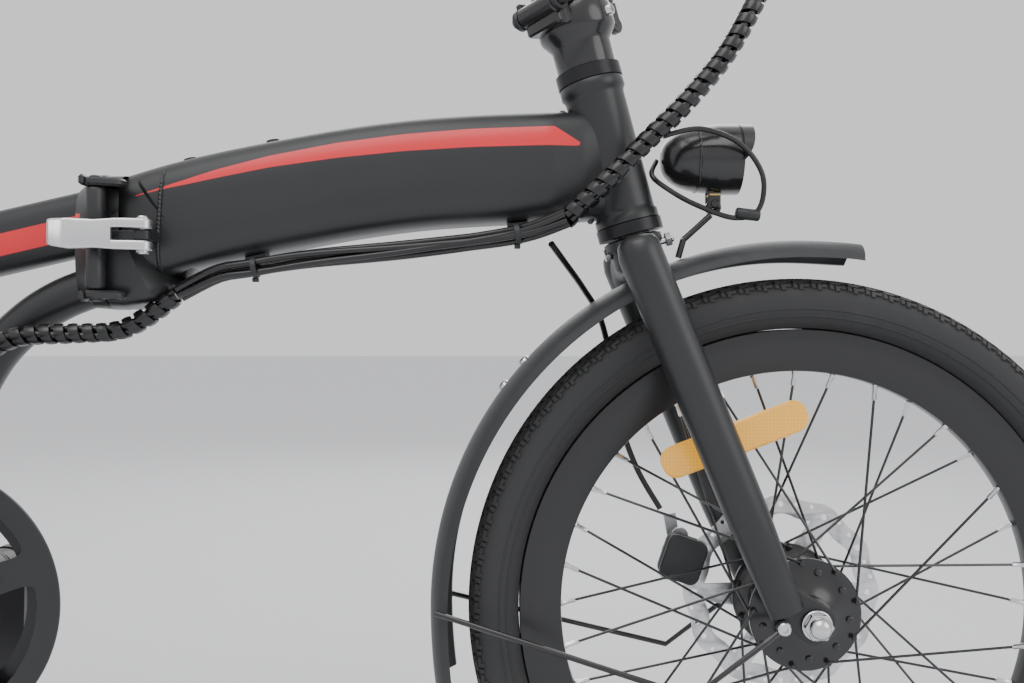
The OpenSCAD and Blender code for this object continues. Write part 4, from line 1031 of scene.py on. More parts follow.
def weld(s, path, r=2.2, beads=60):
    """Rippled weld bead along a closed path."""
    pts = [Vector(p) for p in path]
    lengths = [0.0]
    for a, b in zip(pts, pts[1:] + pts[:1]):
        lengths.append(lengths[-1] + (b - a).length)
    out, rs, total = [], [], lengths[-1]
    m = beads * 3
    for k in range(m):
        d = total * k / m
        i = max(j for j in range(len(pts)) if lengths[j] <= d)
        t = (d - lengths[i]) / max(1e-6, lengths[i + 1] - lengths[i])
        out.append(mixed(pts[i], pts[(i + 1) % len(pts)], t))
        rs.append(r * (1.0 if k % 3 else 0.72))
    s.loft(out, [oval(q, q, 8) for q in rs], Y, False, True)


def beam_rings(steps=5, n=48, grow=0.0):
    pts = spline([from_axle(b[0], 0, b[1]) for b in BEAM], steps)
    rings = []
    for p in pts:
        x = p.x - FRONT_X
        w = 31 * lookup([(b[0], b[3]) for b in BEAM], x) + grow
        h = lookup([(b[0], b[2]) for b in BEAM], x) + grow
        rings.append(oval(w, h, n, 0.62))
    return pts, rings


class BICYCLE_OT_front_frame(Maker):
    """Main beam with its stripe, hinge casting, head tube, ears, barrel and welds."""
    bl_idname = "bicycle.front_frame"
    bl_label = "Front frame"

    def build(self, scene):
        s = Shape()
        pts, rings = beam_rings(9, 96)
        s.loft(pts, rings)
        flare_at = from_axle(-482, 0, 43.5)
        hinge_flare(s, HINGE_X, 1, oval(31.4, 41.9, 72, 0.62), flare_at)
        s.index = 1
        base, axis = steer(0, 0, HEAD_S), steer_dir(0, 0, 1)
        s.turn(base, axis, [(19, 0), (23, 0), (24.6, 0.8), (24.6, 7), (23.2, 8.6), (23, 12), (23, 100), (23.4, 103),
                            (25, 105), (25, 112.2), (24.4, 113), (19, 113), (19, 0)], 64)
        # Weld round the beam where it meets the head tube
        ring = []
        for k in range(64):
            a = TAU * k / 64
            z = 86 + 41.6 * math.sin(a)
            half = 17.5 * abs(math.cos(a)) ** 0.7
            x = -149.5 - 0.27 * (z - 60) - math.sqrt(max(0, 23.4 ** 2 - half ** 2)) + 10.6
            ring.append(from_axle(x, math.copysign(half, math.cos(a)), z))
        weld(s, ring, 2.4, 90)
        ring = [flare_at + Y * q[0] * 1.01 + (Z + X * 0.06) * q[1] * 1.01 for q in oval(31, 41.5, 48, 0.62)]
        weld(s, ring, 1.7, 80)
        # Hinge knuckles, ears and the lug of the lever
        h = Vector((HINGE_X, HINGE_Y, HINGE_Z))
        for z in (-40, 18):
            s.pin(h + Z * z, h + Z * (z + 22), 9, 1.2, 32)
            s.block(h + Vector((6.4, -8, z + 11)), (11, 14, 22), 1, 1)
        for z, lip in ((-41, -1), (41, 1)):
            c = Vector((HINGE_X, -46, HINGE_Z + z))
            out = capsule((-2, -2), (10, 4), 8.4, 8, 10)
            s.slab(c - Z * 3, Z, [(q[0], q[1]) for q in out], 6, 1.6, Y)
            s.block(c + Vector((8, 6, 0)), (10, 16, 6), 2, 1)
            s.block(c + Vector((-9.5, -4, lip * 1.0)), (4.5, 13, 7.6), 2, 1.6)
            s.pin(c + Vector((-2, -2, lip * 2)), c + Vector((-2, -2, lip * 4.6)), 4.6, 1, 20)
        p = Vector((HINGE_X + 33, -50, WHEEL_TOP + 28))
        s.block(p + Vector((0, 7, 0)), (12, 24, 8), 4, 1)
        s.block(p + Vector((-15, 0, 0)), (24, 8, 7), 2, 0.8)
        # Clamp barrel
        c = Vector((HINGE_X - 2, -48, HINGE_Z))
        s.turn(c - Z * 37.5, Z, [(0, 0), (5, 0), (6.6, 1), (7, 2.4), (7, 30), (6.4, 31), (6.4, 44), (7, 45), (7, 72.6),
                                 (6.6, 74), (5, 75), (0, 75)], 32)
        me = s.mesh("front_frame", 42)
        set_stripe(me, beam_depth)
        place("front_frame_welded", me, ["Striped satin paint", "Satin black paint"], "front_frame",
              ["front_frame"])


class BICYCLE_OT_frame_lever(Maker):
    """Forged lever of the frame hinge, slotted at its front, on its upright pin."""
    bl_idname = "bicycle.frame_lever"
    bl_label = "Frame lever"

    def build(self, scene):
        s = Shape()
        p = Vector((HINGE_X + 33, -50, WHEEL_TOP + 28))
        plan = spline([(3.5, -7.6, 0), (-6, -10.8, 0), (-18, -12.2, 0), (-32, -12.9, 0), (-44, -14.2, 0),
                       (-52, -18.2, 0), (-57.6, -24.2, 0)], 5)
        shape = [(-60, 7.6), (-56, 9.8), (-48, 11.0), (-30, 10.4), (-16, 11.4), (4, 11.4)]
        for lo, hi in ((4.4, None), (None, -4.4)):
            path = [q for q in plan if q.x > -19.5]
            rings = []
            for q in path:
                h = lookup(shape, q.x)
                z0, z1 = (lo, h) if lo else (-h, hi)
                mid, dz = (z0 + z1) / 2, (z1 - z0)
                rings.append([(a, b + mid) for a, b in rounded(3.6, dz, 1.5, 3)])
            s.loft([p + q for q in path], rings, Z)
        path = [q for q in plan if q.x <= -16]
        rings = [rounded(3.6 if q.x > -50 else 3.0, 2 * lookup(shape, q.x), 1.6, 3) for q in path]
        s.loft([p + q for q in path], rings, Z)
        # Eyes of the fork round the pin
        for z0, z1 in ((4.4, 11.4), (-11.4, -4.4)):
            s.turn(p + Z * z0, Z, [(3.1, 0), (6.2, 0), (7, 0.9), (7, z1 - z0 - 0.9), (6.2, z1 - z0), (3.1, z1 - z0),
                                   (3.1, 0)], 32)
        s.index = 1
        s.pin(p - Z * 13.4, p + Z * 13.4, 2.9, 0.5, 24)
        for z, d in ((11.5, 1), (-11.5, -1)):
            s.turn(p + Z * z, Z * d, [(0, 0), (5.2, 0), (5.2, 1.1), (4.4, 1.3), (4.0, 2.3), (0, 2.9)], 24)
        place("frame_lever_forged", s.mesh("frame_lever", 38), ["Polished alloy", "Bright steel"], "frame_lever",
              ["frame_lever"])


# ---------- Fork ----------

class BICYCLE_OT_fork(Maker):
    """Fork blades, crown, steerer and forged dropouts."""
    bl_idname = "bicycle.fork"
    bl_label = "Fork"

    def build(self, scene):
        s = Shape()
        axis = steer_dir(0, 0, 1)
        s.turn(steer(0, 0, CROWN_S - 7), axis, [
            (11, 0), (17, 0), (18.6, 1.2), (19, 4), (19, 14), (22, 17), (22.6, 19), (22.6, 23), (19, 24.4),
            (11, 24.4), (11, 0)], 56)
        for side in (-1, 1):
            # Crown arm sweeps out into the blade's shoulder
            arm = spline([(0, side * 6, CROWN_S + 1), (-2, side * 26, CROWN_S + 2), (-4, side * 43, CROWN_S - 1),
                          (-4.6, side * 53, CROWN_S - 13)], 4)
            s.loft([steer(*q) for q in arm], [oval(14 + 1.5 * min(1, k / 8), 13.5, 32) for k in range(len(arm))], X)
            top, foot = Vector((-5, side * BLADE_Y, CROWN_S)), Vector((FORK_OFFSET - 18, side * 56, 14))
            path, rings = [], []
            for k in range(-3, 25):
                t = k / 24
                q = mixed(top, foot, t)
                r = mixed(16.4, 15.8, min(1, t * 1.5)) if t < 0.72 else mixed(15.8, 12.8, (t - 0.72) / 0.28)
                cap = {-3: 0.35, -2: 0.75, -1: 0.94}.get(k, 1)
                flat = mixed(1.0, 0.72, max(0, (t - 0.8) / 0.2))
                path.append(steer(*q))
                rings.append(oval(r * cap * flat, r * cap, 40))
            path[0] = steer(*(top + Vector((0.4, 0, 14.6))))
            path[1] = steer(*(top + Vector((0.3, 0, 12.4))))
            path[2] = steer(*(top + Vector((0.2, 0, 7.5))))
            s.loft(path, rings, steer_dir(1, 0, 0.01))
            # Forged dropout plate, thinning towards the axle
            plate = capsule((FORK_OFFSET, 0), (FORK_OFFSET - 19, 26), 15, 11, 14)
            tab = capsule((FORK_OFFSET - 24, 5), (FORK_OFFSET - 19, 24), 7.2, 9, 10)
            for out, thick in ((plate, 6.0), (tab, 5.4)):
                forward = steer_dir(1, 0, 0).dot(basis(Y, axis)[0])
                s.slab(steer(0, side * 53 - thick / 2, 0), Y, [(q[0] * forward, q[1]) for q in out], thick,
                       1.3, axis)
        s.turn(steer(0, 0, CROWN_S + 16), axis, [(11, 0), (14.2, 0), (14.2, 168), (13.2, 170), (11, 170), (11, 0)], 40)
        place("fork_forged", s.mesh("fork", 40), ["Satin black paint"], "fork", ["fork"])


class BICYCLE_OT_stem_hinge(Maker):
    """Folding joint of the steering column: base, upper collar, latch and their pins."""
    bl_idname = "bicycle.stem_hinge"
    bl_label = "Stem hinge"

    def build(self, scene):
        axis = steer_dir(0, 0, 1)
        rear, across = steer_dir(-0.7071, -0.7071, 0), steer_dir(0.7071, -0.7071, 0)
        s = Shape()
        z0 = HEAD_TOP_S + 10.4
        s.turn(steer(0, 0, 0), axis, [
            (14.4, z0), (22.4, z0), (23, z0 + 0.6), (23, FOLD_S - 28), (24.6, FOLD_S - 25), (28.6, FOLD_S - 19.5),
            (29.8, FOLD_S - 17), (30, FOLD_S - 3), (29.2, FOLD_S - 0.4), (13, FOLD_S - 0.4), (13, FOLD_S - 26),
            (14.4, FOLD_S - 26), (14.4, z0)], 64)
        # Lug and barrel of the hinge
        lug = steer(0, 0, FOLD_S - 8) + rear * 30
        s.block(lug, (20, 34, 15), 3, 1.4, axis, rear)
        hinge = steer(0, 0, FOLD_S) + rear * 38
        s.pin(hinge - across * 16.9, hinge + across * 16.9, 8, 1.2, 32)
        front = steer(0, 0, FOLD_S - 12) - rear * 32
        s.block(front, (12, 9.6, 10), 2, 1, axis, rear)
        # Clamp slot screw at the front of the base
        s.index = 1
        s.screw(steer(24, -16, FOLD_S - 10), steer_dir(0.8, -0.6, 0), 4.5, 4.5)
        place("stem_base_hinged", s.mesh("stem_base", 38), ["Gloss black metal", "Bright steel"], "fork",
              ["stem_base"])
        s = Shape()
        s.turn(steer(0, 0, 0), axis, [
            (13.6, FOLD_S + 0.3), (29.2, FOLD_S + 0.3), (30, FOLD_S + 1), (30, FOLD_S + 13), (29, FOLD_S + 16),
            (25, FOLD_S + 26), (20.5, FOLD_S + 35), (19.2, FOLD_S + 42), (18.4, FOLD_S + 60), (16, BAR_S - 24),
            (15.8, BAR_S - 14), (0, BAR_S - 14)], 64)
        for k in (-1, 1):
            c = steer(0, 0, FOLD_S + 7) + rear * 30 + across * k * 19.9
            s.block(c, (16, 5, 12), 2, 1, axis, rear)
            s.pin(hinge + across * k * 17.5, hinge + across * k * 22.4, 8, 1, 32)
        # Clamp of the handlebar with its two screws
        s.turn(steer(0, -22, BAR_S), Y, [(11.3, 0), (16, 0), (17, 1), (17, 43), (16, 44), (11.3, 44), (11.3, 0)], 48)
        s.index = 1
        s.turn(hinge - across * 22.4, -across, [(0, 0), (5.6, 0), (5.6, 1.2), (4.4, 3), (2.4, 4), (0, 4.4)], 28)
        s.turn(hinge + across * 22.4, across, [(0, 0), (5.6, 0), (5.6, 1.2), (4.4, 3), (2.4, 4), (0, 4.4)], 28)
        for y in (-13, 13):
            s.screw(steer(15.5, y, BAR_S + 5), steer_dir(1, 0, 0.3), 3.6, 4)
        place("handlepost_turned", s.mesh("handlepost", 38), ["Satin black paint", "Black oxide steel"],
              "handlepost", ["handlepost"])
        s = Shape()
        pivot = steer(0, 0, FOLD_S - 12) - rear * 38
        fwd = -rear
        for k in (-1, 1):
            s.pin(pivot + across * k * 5.5, pivot + across * k * 12, 7, 1, 28)
            s.block(pivot + across * k * 8.7 + fwd * 2.5 + axis * 9, (7, 6.6, 19), 2, 1, axis, fwd)
        path = [pivot + fwd * d + axis * h for d, h in ((2.4, 13), (2.6, 30), (3.2, 55), (2.4, 78), (1.2, 97))]
        s.loft(path, [rounded(22, 6.4, 2.4, 3), rounded(22, 6.4, 2.4, 3), rounded(19, 5.6, 2.2, 3),
                      rounded(17, 5.0, 2.2, 3), rounded(13, 3.4, 1.5, 3)], fwd)
        s.pin(pivot - across * 12.4, pivot + across * 12.4, 2.5, 0.4, 20)
        place("stem_lever_cast", s.mesh("stem_lever", 38), ["Gloss black metal"], "stem_lever",
              ["stem_lever"])


# ---------- Front fender and fork fittings ----------

FENDER_R = 278.0
FENDER_W = 60.0


def fender_shell(s, axle, a0, a1, flare, flap):
    """Curved shell between two angles, measured from forwards, upwards; flared at its tips."""
    steps = int((a1 - a0) / 1.6)
    path, rings = [], []
    for k in range(steps + 1):
        a = math.radians(a0 + (a1 - a0) * k / steps)
        d0, d1 = k / steps * (a1 - a0), (1 - k / steps) * (a1 - a0)
        rise = flare * max(0, 1 - d0 / 9) ** 2 + flap * max(0, 1 - d1 / 12) ** 2
        half = FENDER_W / 2 * (1 - 0.16 * max(0, 1 - d0 / 4) ** 2)
        r = FENDER_R + rise
        out = []
        for u in [j / 14 for j in range(-14, 15)]:
            out.append((u * half, 4.0 - 13.5 * abs(u) ** 2.6 - (1.4 if abs(u) > 0.9 else 0)))
        for u in [j / 14 for j in range(14, -15, -1)]:
            out.append((u * (half - 2.6), 1.8 - 12.2 * abs(u) ** 2.6))
        path.append(axle + Vector((math.cos(a), 0, math.sin(a))) * r)
        rings.append(out)
    m, n = len(path), len(rings[0])
    verts = []
    for k, p in enumerate(path):
        a = math.radians(a0 + (a1 - a0) * k / steps)
        verts += [p + Y * q[0] + Vector((math.cos(a), 0, math.sin(a))) * q[1] for q in rings[k]]
    faces = [(i * n + k, i * n + (k + 1) % n, (i + 1) * n + (k + 1) % n, (i + 1) * n + k)
             for i in range(m - 1) for k in range(n)]
    h = n // 2
    for i in (0, m - 1):
        faces += [(i * n + k, i * n + k + 1, i * n + n - 2 - k, i * n + n - 1 - k) for k in range(h - 1)]
    s.add(verts, faces)


class BICYCLE_OT_front_fender(Maker):
    """Front fender with its two screws."""
    bl_idname = "bicycle.front_fender"
    bl_label = "Front fender"

    def build(self, scene):
        s = Shape()
        fender_shell(s, FRONT_AXLE, 80, 192, 1.6, 2.4)
        s.index = 1
        for a in (138, 143):
            t = math.radians(a)
            out = Vector((math.cos(t), 0, math.sin(t)))
            s.screw(FRONT_AXLE + out * (FENDER_R + 3.2), out, 5, 3.4, False)
        place("front_fender_moulded", s.mesh("front_fender", 35), ["Fender plastic", "Black oxide steel"], "fork",
              ["front_fender"])


# ---------- Headlight ----------

class BICYCLE_OT_headlight(Maker):
    """Headlight: shell with its visor, reflector bowl and lens."""
    bl_idname = "bicycle.headlight"
    bl_label = "Headlight"

    def build(self, scene):
        o = Vector((FRONT_X - 104, 0, WHEEL_TOP + 92))
        s = Shape()
        outside = [(0, 0), (5, 0.4), (9, 1.2), (13, 3.2), (16.4, 6.5), (19, 10), (21.4, 14.5), (23.6, 21), (25, 28),
                   (26, 36), (26.5, 40), (27, 42), (27, 60)]
        inside = [(24.8, 60), (24.8, 50), (23.5, 48), (18, 44), (10, 39), (0, 37.5)]
        s.turn(o, X, outside + inside, 72)
        # Visor over the lens
        n, verts, faces = 40, [], []
        for k in range(n + 1):
            a = math.radians(-10 + 200 * k / n)
            reach = 69 - 9 * (2 * abs(k / n - 0.5)) ** 5
            for r, h in ((27, 58), (27, reach), (25.2, reach), (25.2, 58)):
                verts.append(o + X * h + Y * r * math.cos(a) + Z * r * math.sin(a))
        for k in range(n):
            for j in range(4):
                faces.append((k * 4 + j, k * 4 + (j + 1) % 4, (k + 1) * 4 + (j + 1) % 4, (k + 1) * 4 + j))
        faces += [(0, 1, 2, 3), tuple(n * 4 + j for j in (3, 2, 1, 0))]
        s.add(verts, faces)
        # Seam ridge and the slotted strip underneath
        s.turn(o + X * 26.2, X, [(24.4, 0), (25.6, 0.3), (25.8, 1.4), (25.2, 2.2), (24.4, 2.2)], 72)
        for k in (-1, 1):
            s.block(o + Vector((41, k * 5.5, -31)), (10, 3, 15), 1.4, 0.7)
        s.pin(o + Vector((41, -8.5, -35)), o + Vector((41, 8.5, -35)), 3.2, 0.6, 20)
        s.index = 1
        s.turn(o + X * 38, X, [(0, 0), (8, 0.4), (16, 5), (21, 10.5), (24.3, 17)], 60)
        s.index = 2
        s.block(o + Vector((41, 0, -28)), (9, 17, 1.6), 1.2, 0.4)
        place("headlight_shell_finned", s.mesh("headlight_shell", 32),
              ["Gloss black metal", "Lamp reflector", "Grey reflector"], "headlight",
              ["headlight_shell"])
        s = Shape()
        s.turn(o + X * 52, X, [(0, 0), (24.2, 0), (24.5, 0.5), (24.5, 2.2), (23.6, 3), (12, 3.7), (0, 4)], 60)
        place("headlight_lens_domed", s.mesh("headlight_lens", 32), ["Clear lens"], "headlight",
              ["headlight_lens"])


# ---------- Cables ----------

UNDER_BEAM = [(-470, -20, -12), (-440, -23, 2), (-415, -25, 6), (-370, -25, 13), (-300, -24, 20), (-235, -25, 28),
              (-205, -33, 33), (-178, -42, 42)]
LOOM = [(-177.8, -42.2, 42.3), (-150, -46, 68), (-120, -44, 98), (-90, -42, 128), (-60, -40, 165), (-35, -36, 210),
        (-20, -30, 260), (-22, -22, 320), (-50, -14, 380), (-100, -8, 440), (-160, -6, 480), (-205, -6, 505)]
BRAKE_LINE = [(-190, -35, 23.5), (-178, -16, 10), (-162, 14, -8), (-147, 38, -30), (-136, 52, -70), (-130, 62, -110),
              (-114, 68, -155), (-94, 66, -190)]
LAMP_LEAD = [(-108, -40, 102), (-80, -38, 108), (-50, -34, 98), (-32, -30, 75), (-34, -26, 50), (-52, -24, 44),
             (-80, -22, 54), (-100, -18, 66), (-112, -12, 78), (-107, 0, 91)]
REAR_LOOM = [(-472.8, -20, -13.8), (-495, -22, -31), (-516, -24, -41), (-550, -26, -43), (-590, -28, -46),
             (-615, -29, -62), (-632, -28, -95), (-638, -28, -150)]


def even(points, pitch):
    """The path at even steps of about pitch."""
    pts = [Vector(p) for p in points]
    d = [0.0]
    for a, b in zip(pts, pts[1:]):
        d.append(d[-1] + (b - a).length)
    n = max(2, round(d[-1] / pitch))
    out, i = [], 0
    for k in range(n + 1):
        t = d[-1] * k / n
        while i < len(pts) - 2 and d[i + 1] < t:
            i += 1
        out.append(mixed(pts[i], pts[i + 1], (t - d[i]) / max(1e-6, d[i + 1] - d[i])))
    return out


def strand(s, path, turns, offset, r, up=Z, phase=0.0, n=8, flat=None):
    """A strand wound round a path at a given distance, turns per millimetre."""
    pts, d = [], 0.0
    for i, p in enumerate(path):
        a, b = path[max(i - 1, 0)], path[min(i + 1, len(path) - 1)]
        if i:
            d += (p - path[i - 1]).length
        side, high = basis(b - a, up)
        t = phase + TAU * turns * d
        pts.append(p + side * math.cos(t) * offset + high * math.sin(t) * offset)
    ring = flat or oval(r, r, n)
    if flat:
        verts, m = [], len(flat)
        for i, q in enumerate(pts):
            out = (q - path[i]).normalized()
            along = (path[min(i + 1, len(path) - 1)] - path[max(i - 1, 0)]).normalized()
            verts += [q + along * f[0] + out * f[1] for f in flat]
        faces = [(i * m + k, i * m + (k + 1) % m, (i + 1) * m + (k + 1) % m, (i + 1) * m + k)
                 for i in range(len(pts) - 1) for k in range(m)]
        faces += [tuple(range(m - 1, -1, -1)), tuple((len(pts) - 1) * m + k for k in range(m))]
        s.add(verts, faces)
    else:
        s.loft(pts, [ring] * len(pts), up)


def loom(s, points, looks, up=Y):
    """Cables inside a spiral wrap; outer radius 8."""
    path = even(spline(points, 10), 1.3)
    core = path[::3] + ([path[-1]] if (len(path) - 1) % 3 else [])
    for k in range(3):
        strand(s, core, 1 / 260, 3.1, 2.9, up, TAU * k / 3, 8)
    pitch = looks.wrap_pitch / MM
    w = pitch * 0.37
    band = [(-w, -0.7), (w, -0.7), (w * 0.92, 0.5), (0, 0.95), (-w * 0.92, 0.5)]
    strand(s, path, 1 / pitch, 7.0, 0, up, flat=band)


class BICYCLE_OT_cables(Maker):
    """Bundle under the beam, spiral-wrapped looms, brake line and lamp lead."""
    bl_idname = "bicycle.cables"
    bl_label = "Cables"

    def build(self, scene):
        looks = scene.cable_looks
        s = Shape()
        path = even(spline([from_axle(*p) for p in UNDER_BEAM], 8), 7)
        r = looks.cable_radius / MM
        for k in range(looks.cables):
            a = TAU * k / looks.cables
            strand(s, path, 1 / 900 * (1 if k % 2 else -1), 4.7, r, Y, a, 10)
        s.index = 1
        for x, y, z in ((-412, -25, 6.4), (-215, -30, 31)):
            at = from_axle(x, y, z)
            s.turn(at - X * 2, X + Z * 0.15, [(7.4, 0), (8, 0.3), (8, 3.9), (7.4, 4.2), (7.4, 0)], 24)
            s.block(at + Vector((0, 2, -9)), (4.6, 5, 3.2), 1, 0.4)
        place("beam_cables_bundled", s.mesh("beam_cables", 50), ["Cable jacket", "Moulded plastic"], "front_frame",
              ["beam_cables"])
        # Front looms, cut where the steering and the stem fold cross them
        def at(points):
            return spline([from_axle(*p) for p in points], 8)
        low, high = LOOM[:6], LOOM[5:]
        kept = ["front_cables"]
        for name, pts, span in (("loom_low", low, ("front_frame", "fork")),
                                ("loom_high", high, ("fork", "handlepost"))):
            s = Shape()
            q = [from_axle(*p) for p in pts]
            loom(s, q, looks)
            if name == "loom_low":
                for line, rad in ((LAMP_LEAD, 2.0), (BRAKE_LINE, 2.5)):
                    s.tube(at(line), rad, 10)
                s.index = 1
                c = from_axle(-42, -25, 46.5)
                s.pin(c - Vector((9, 0, -1)), c + Vector((9, 0, -1)), 4.4, 1, 16)
            a, b = q[0], q[-1]
            me = s.mesh(name, 50)
            place("front_cables_" + name, me, ["Cable jacket", "Moulded plastic"], None, kept,
                  (*span, tuple(a * MM), tuple(b * MM)))
            kept = []
        s = Shape()
        loom(s, [from_axle(*p) for p in REAR_LOOM], looks)
        q = [from_axle(*p) for p in REAR_LOOM]
        place("rear_loom_wrapped", s.mesh("rear_loom", 50), ["Cable jacket"], None, ["rear_loom"],
              ("front_frame", "rear_frame", tuple(q[0] * MM), tuple(q[5] * MM)))


# ---------- Front brake ----------

def caliper(axle, angle, y):
    """Disc brake caliper: black body round the rotor, bright cap and bolts."""
    a = math.radians(angle)
    out, across = Vector((math.cos(a), 0, math.sin(a))), Vector((-math.sin(a), 0, math.cos(a)))
    s = Shape()
    c = axle + out * 85 + Y * y
    s.index = 1
    s.block(c + Y * 2.5 + out * 0, (33, 36, 9), 7, 1.6, Y, out)
    s.block(c - Y * 6.6, (33, 36, 7), 7, 1.6, Y, out)
    s.block(c + out * 10.5 - Y * 1.5, (10, 34, 15), 3, 1, Y, out)
    s.turn(c + Y * 7.5, Y, [(0, 0), (15, 0), (15, 6.4), (14, 8), (10.4, 9), (10.4, 10.4), (0, 10.4)], 40)
    s.index = 0
    for k in (-1, 1):
        p = c + across * k * 15.5 + out * 6
        s.turn(p + Y * 6, Y, [(0, 0), (6.6, 0), (7, 0.6), (7, 3), (6, 3.6), (0, 3.6)], 28)
        s.screw(p + Y * 9.4, Y, 4.6, 4.2)
    return s


class BICYCLE_OT_front_brake(Maker):
    """Front caliper."""
    bl_idname = "bicycle.front_brake"
    bl_label = "Front brake"

    def build(self, scene):
        s = caliper(FRONT_AXLE, CALIPER_AT, ROTOR_Y)
        place("front_caliper_cast", s.mesh("front_caliper", 35), ["Cast alloy", "Moulded plastic"], "fork",
              ["front_caliper"])


class BICYCLE_OT_axle_and_bolts(Maker):
    """Front axle with its domed nuts, and the fork's fasteners."""
    bl_idname = "bicycle.axle_and_bolts"
    bl_label = "Axle and bolts"

    def build(self, scene):
        s = Shape()
        for k in (-1, 1):
            s.turn(FRONT_AXLE + Y * k * 57.2, Y * k, [(0, 0), (10.4, 0), (11, 0.5), (11, 1.6), (10.4, 2), (0, 2)], 40)
            s.nut(FRONT_AXLE + Y * k * 59.2, Y * k, 10.4, 6.2)
            s.turn(FRONT_AXLE + Y * k * 65.2, Y * k, [(0, 0), (8, 0), (8.2, 0.6), (7.8, 2.6), (6.2, 4.9), (3.6, 6.4),
                                                     (0, 7)], 40)
            s.turn(FRONT_AXLE + Y * k * 49.4, Y * k, [(0, 0), (8, 0), (8, 3.2), (0, 3.2)], 32)
            s.pin(FRONT_AXLE + Y * k * 44, FRONT_AXLE + Y * k * 60, 4.7, 0.4, 24)
        place("front_axle_turned", s.mesh("front_axle", 32), ["Bright steel"], "fork", ["front_axle"])
        s = Shape()
        eye = steer(FORK_OFFSET - 24, 0, 5)
        for k in (-1, 1):
            at = Vector((eye.x, k * 60.4, eye.z))
            s.screw(at, Y * k, 4.9, 3.6)
            s.pin(at - Y * k * 8, at, 2.4, 0.3, 16)
        axis = steer_dir(1, 0, 0)
        at = steer(24.2, 0, CROWN_S + 9)
        s.nut(at, axis, 6, 5)
        s.pin(at - axis * 19.5, at + axis * 7, 2.9, 0.5, 20)
        back = steer(-19.1, 0, CROWN_S + 9)
        s.nut(back - axis * 5, axis, 5.2, 5)
        for a in (138, 143):
            t = math.radians(a)
            o = Vector((math.cos(t), 0, math.sin(t)))
            p = FRONT_AXLE + o * (FENDER_R + 1.6)
            s.turn(p, o, [(0, 0), (5.8, 0), (6, 0.4), (6, 1.4), (5.4, 2), (4.6, 4.2), (0, 5)], 28)
        place("fork_fasteners_turned", s.mesh("fork_fasteners", 32), ["Bright steel"], "fork",
              ["fork_fasteners"])


# ---------- Rear frame ----------

PLATE_BACK = HINGE_X - 12.4


class BICYCLE_OT_rear_frame(Maker):
    """Rear frame with its stripe, curved lower tube, stays, dropouts and hinge casting."""
    bl_idname = "bicycle.rear_frame"
    bl_label = "Rear frame"

    def build(self, scene):
        s = Shape()
        front, back = Vector((PLATE_BACK + 4, 0, WHEEL_TOP + 47)), seat(0, 0, 252)
        path = [mixed(front, back, k / 20) for k in range(21)]
        s.loft(path, [oval(18, 24.3, 64, 0.72)] * 21)
        low = spline([(PLATE_BACK + 4, 0, WHEEL_TOP - 2), (HINGE_X - 45, 0, WHEEL_TOP - 15),
                      (HINGE_X - 75, 0, WHEEL_TOP - 34), (HINGE_X - 103, 0, WHEEL_TOP - 64), (BB.x, 0, WHEEL_TOP - 110),
                      (BB.x - 4, 0, BB.z + 80), (BB.x, 0, BB.z + 10)], 6)
        s.tube(low, 15.9, 40, Y)
        # Hinge casting
        base = Vector((HINGE_X - 0.4, -3, HINGE_Z))
        plate = rounded(72, 100, 16, 8)
        s.slab(base - X * 12, X, plate, 12, 1.2)
        flare = [(base - X * 12, 36, 49, 0.45), (base - X * 17, 30, 47, 0.5), (base - X * 26, 24, 42, 0.6)]
        s.loft([q[0] for q in flare], [oval(q[1], q[2], 56, q[3]) for q in flare])
        h = Vector((HINGE_X, HINGE_Y, HINGE_Z))
        s.pin(h - Z * 17.6, h + Z * 17.6, 9, 1.2, 32)
        s.block(h + Vector((-6.4, -8, 0)), (11, 14, 35), 1, 1)
        s.index = 1
        axis = seat_dir(0, 0, 1)
        s.turn(BB, axis, [(16.6, 0), (20, 0), (20, 298), (19.4, 300), (17.2, 300), (17.2, 34), (16.6, 0)], 56)
        s.turn(BB - Y * 33.9, Y, [(17.6, 0), (19.4, 0), (20, 0.6), (20, 67.2), (19.4, 67.8), (17.6, 67.8),
                                  (17.6, 0)], 56)
        for k in (-1, 1):
            stay = spline([(BB.x - 12, k * 16, BB.z), (BB.x - 80, k * 30, BB.z - 3), (BB.x - 148, k * 40, BB.z - 6),
                           (REAR_X + 30, k * 67, TYRE_R + 1)], 7)
            s.tube(stay, 8, 24, Y)
            top = seat(0, 0, 238)
            stay = spline([top + Vector((-6, k * 14, 0)), top + Vector((-76, k * 41, -46)),
                           (REAR_X + 22, k * 68, TYRE_R + 18)], 9)
            s.tube(stay, 6.5, 24, Y)
            for a, b, ra, rb in (((0, 0), (34, 0), 17, 9), ((0, 0), (30, 22), 17, 9)):
                out = capsule(a, b, ra, rb, 14)
                side = basis(Y, Z)[0]
                s.slab(REAR_AXLE + Y * (k * 71 - 3), Y, [(q[0] * side.x, q[1]) for q in out], 6, 1.1)
        s.block((REAR_X + 170, 47, TYRE_R - 9), (26, 18, 26), 3, 1)
        # Beads round the joints of the seat tube
        ring = [seat(19.8 * math.cos(a), 18.4 * math.sin(a), 228 + 3 * math.cos(2 * a))
                for a in [TAU * j / 48 for j in range(48)]]
        weld(s, ring, 1.8, 60)
        me = s.mesh("rear_frame", 42)
        set_stripe(me, tail_depth)
        place("rear_frame_welded", me, ["Striped satin paint", "Satin black paint"], "rear_frame",
              ["rear_frame"])


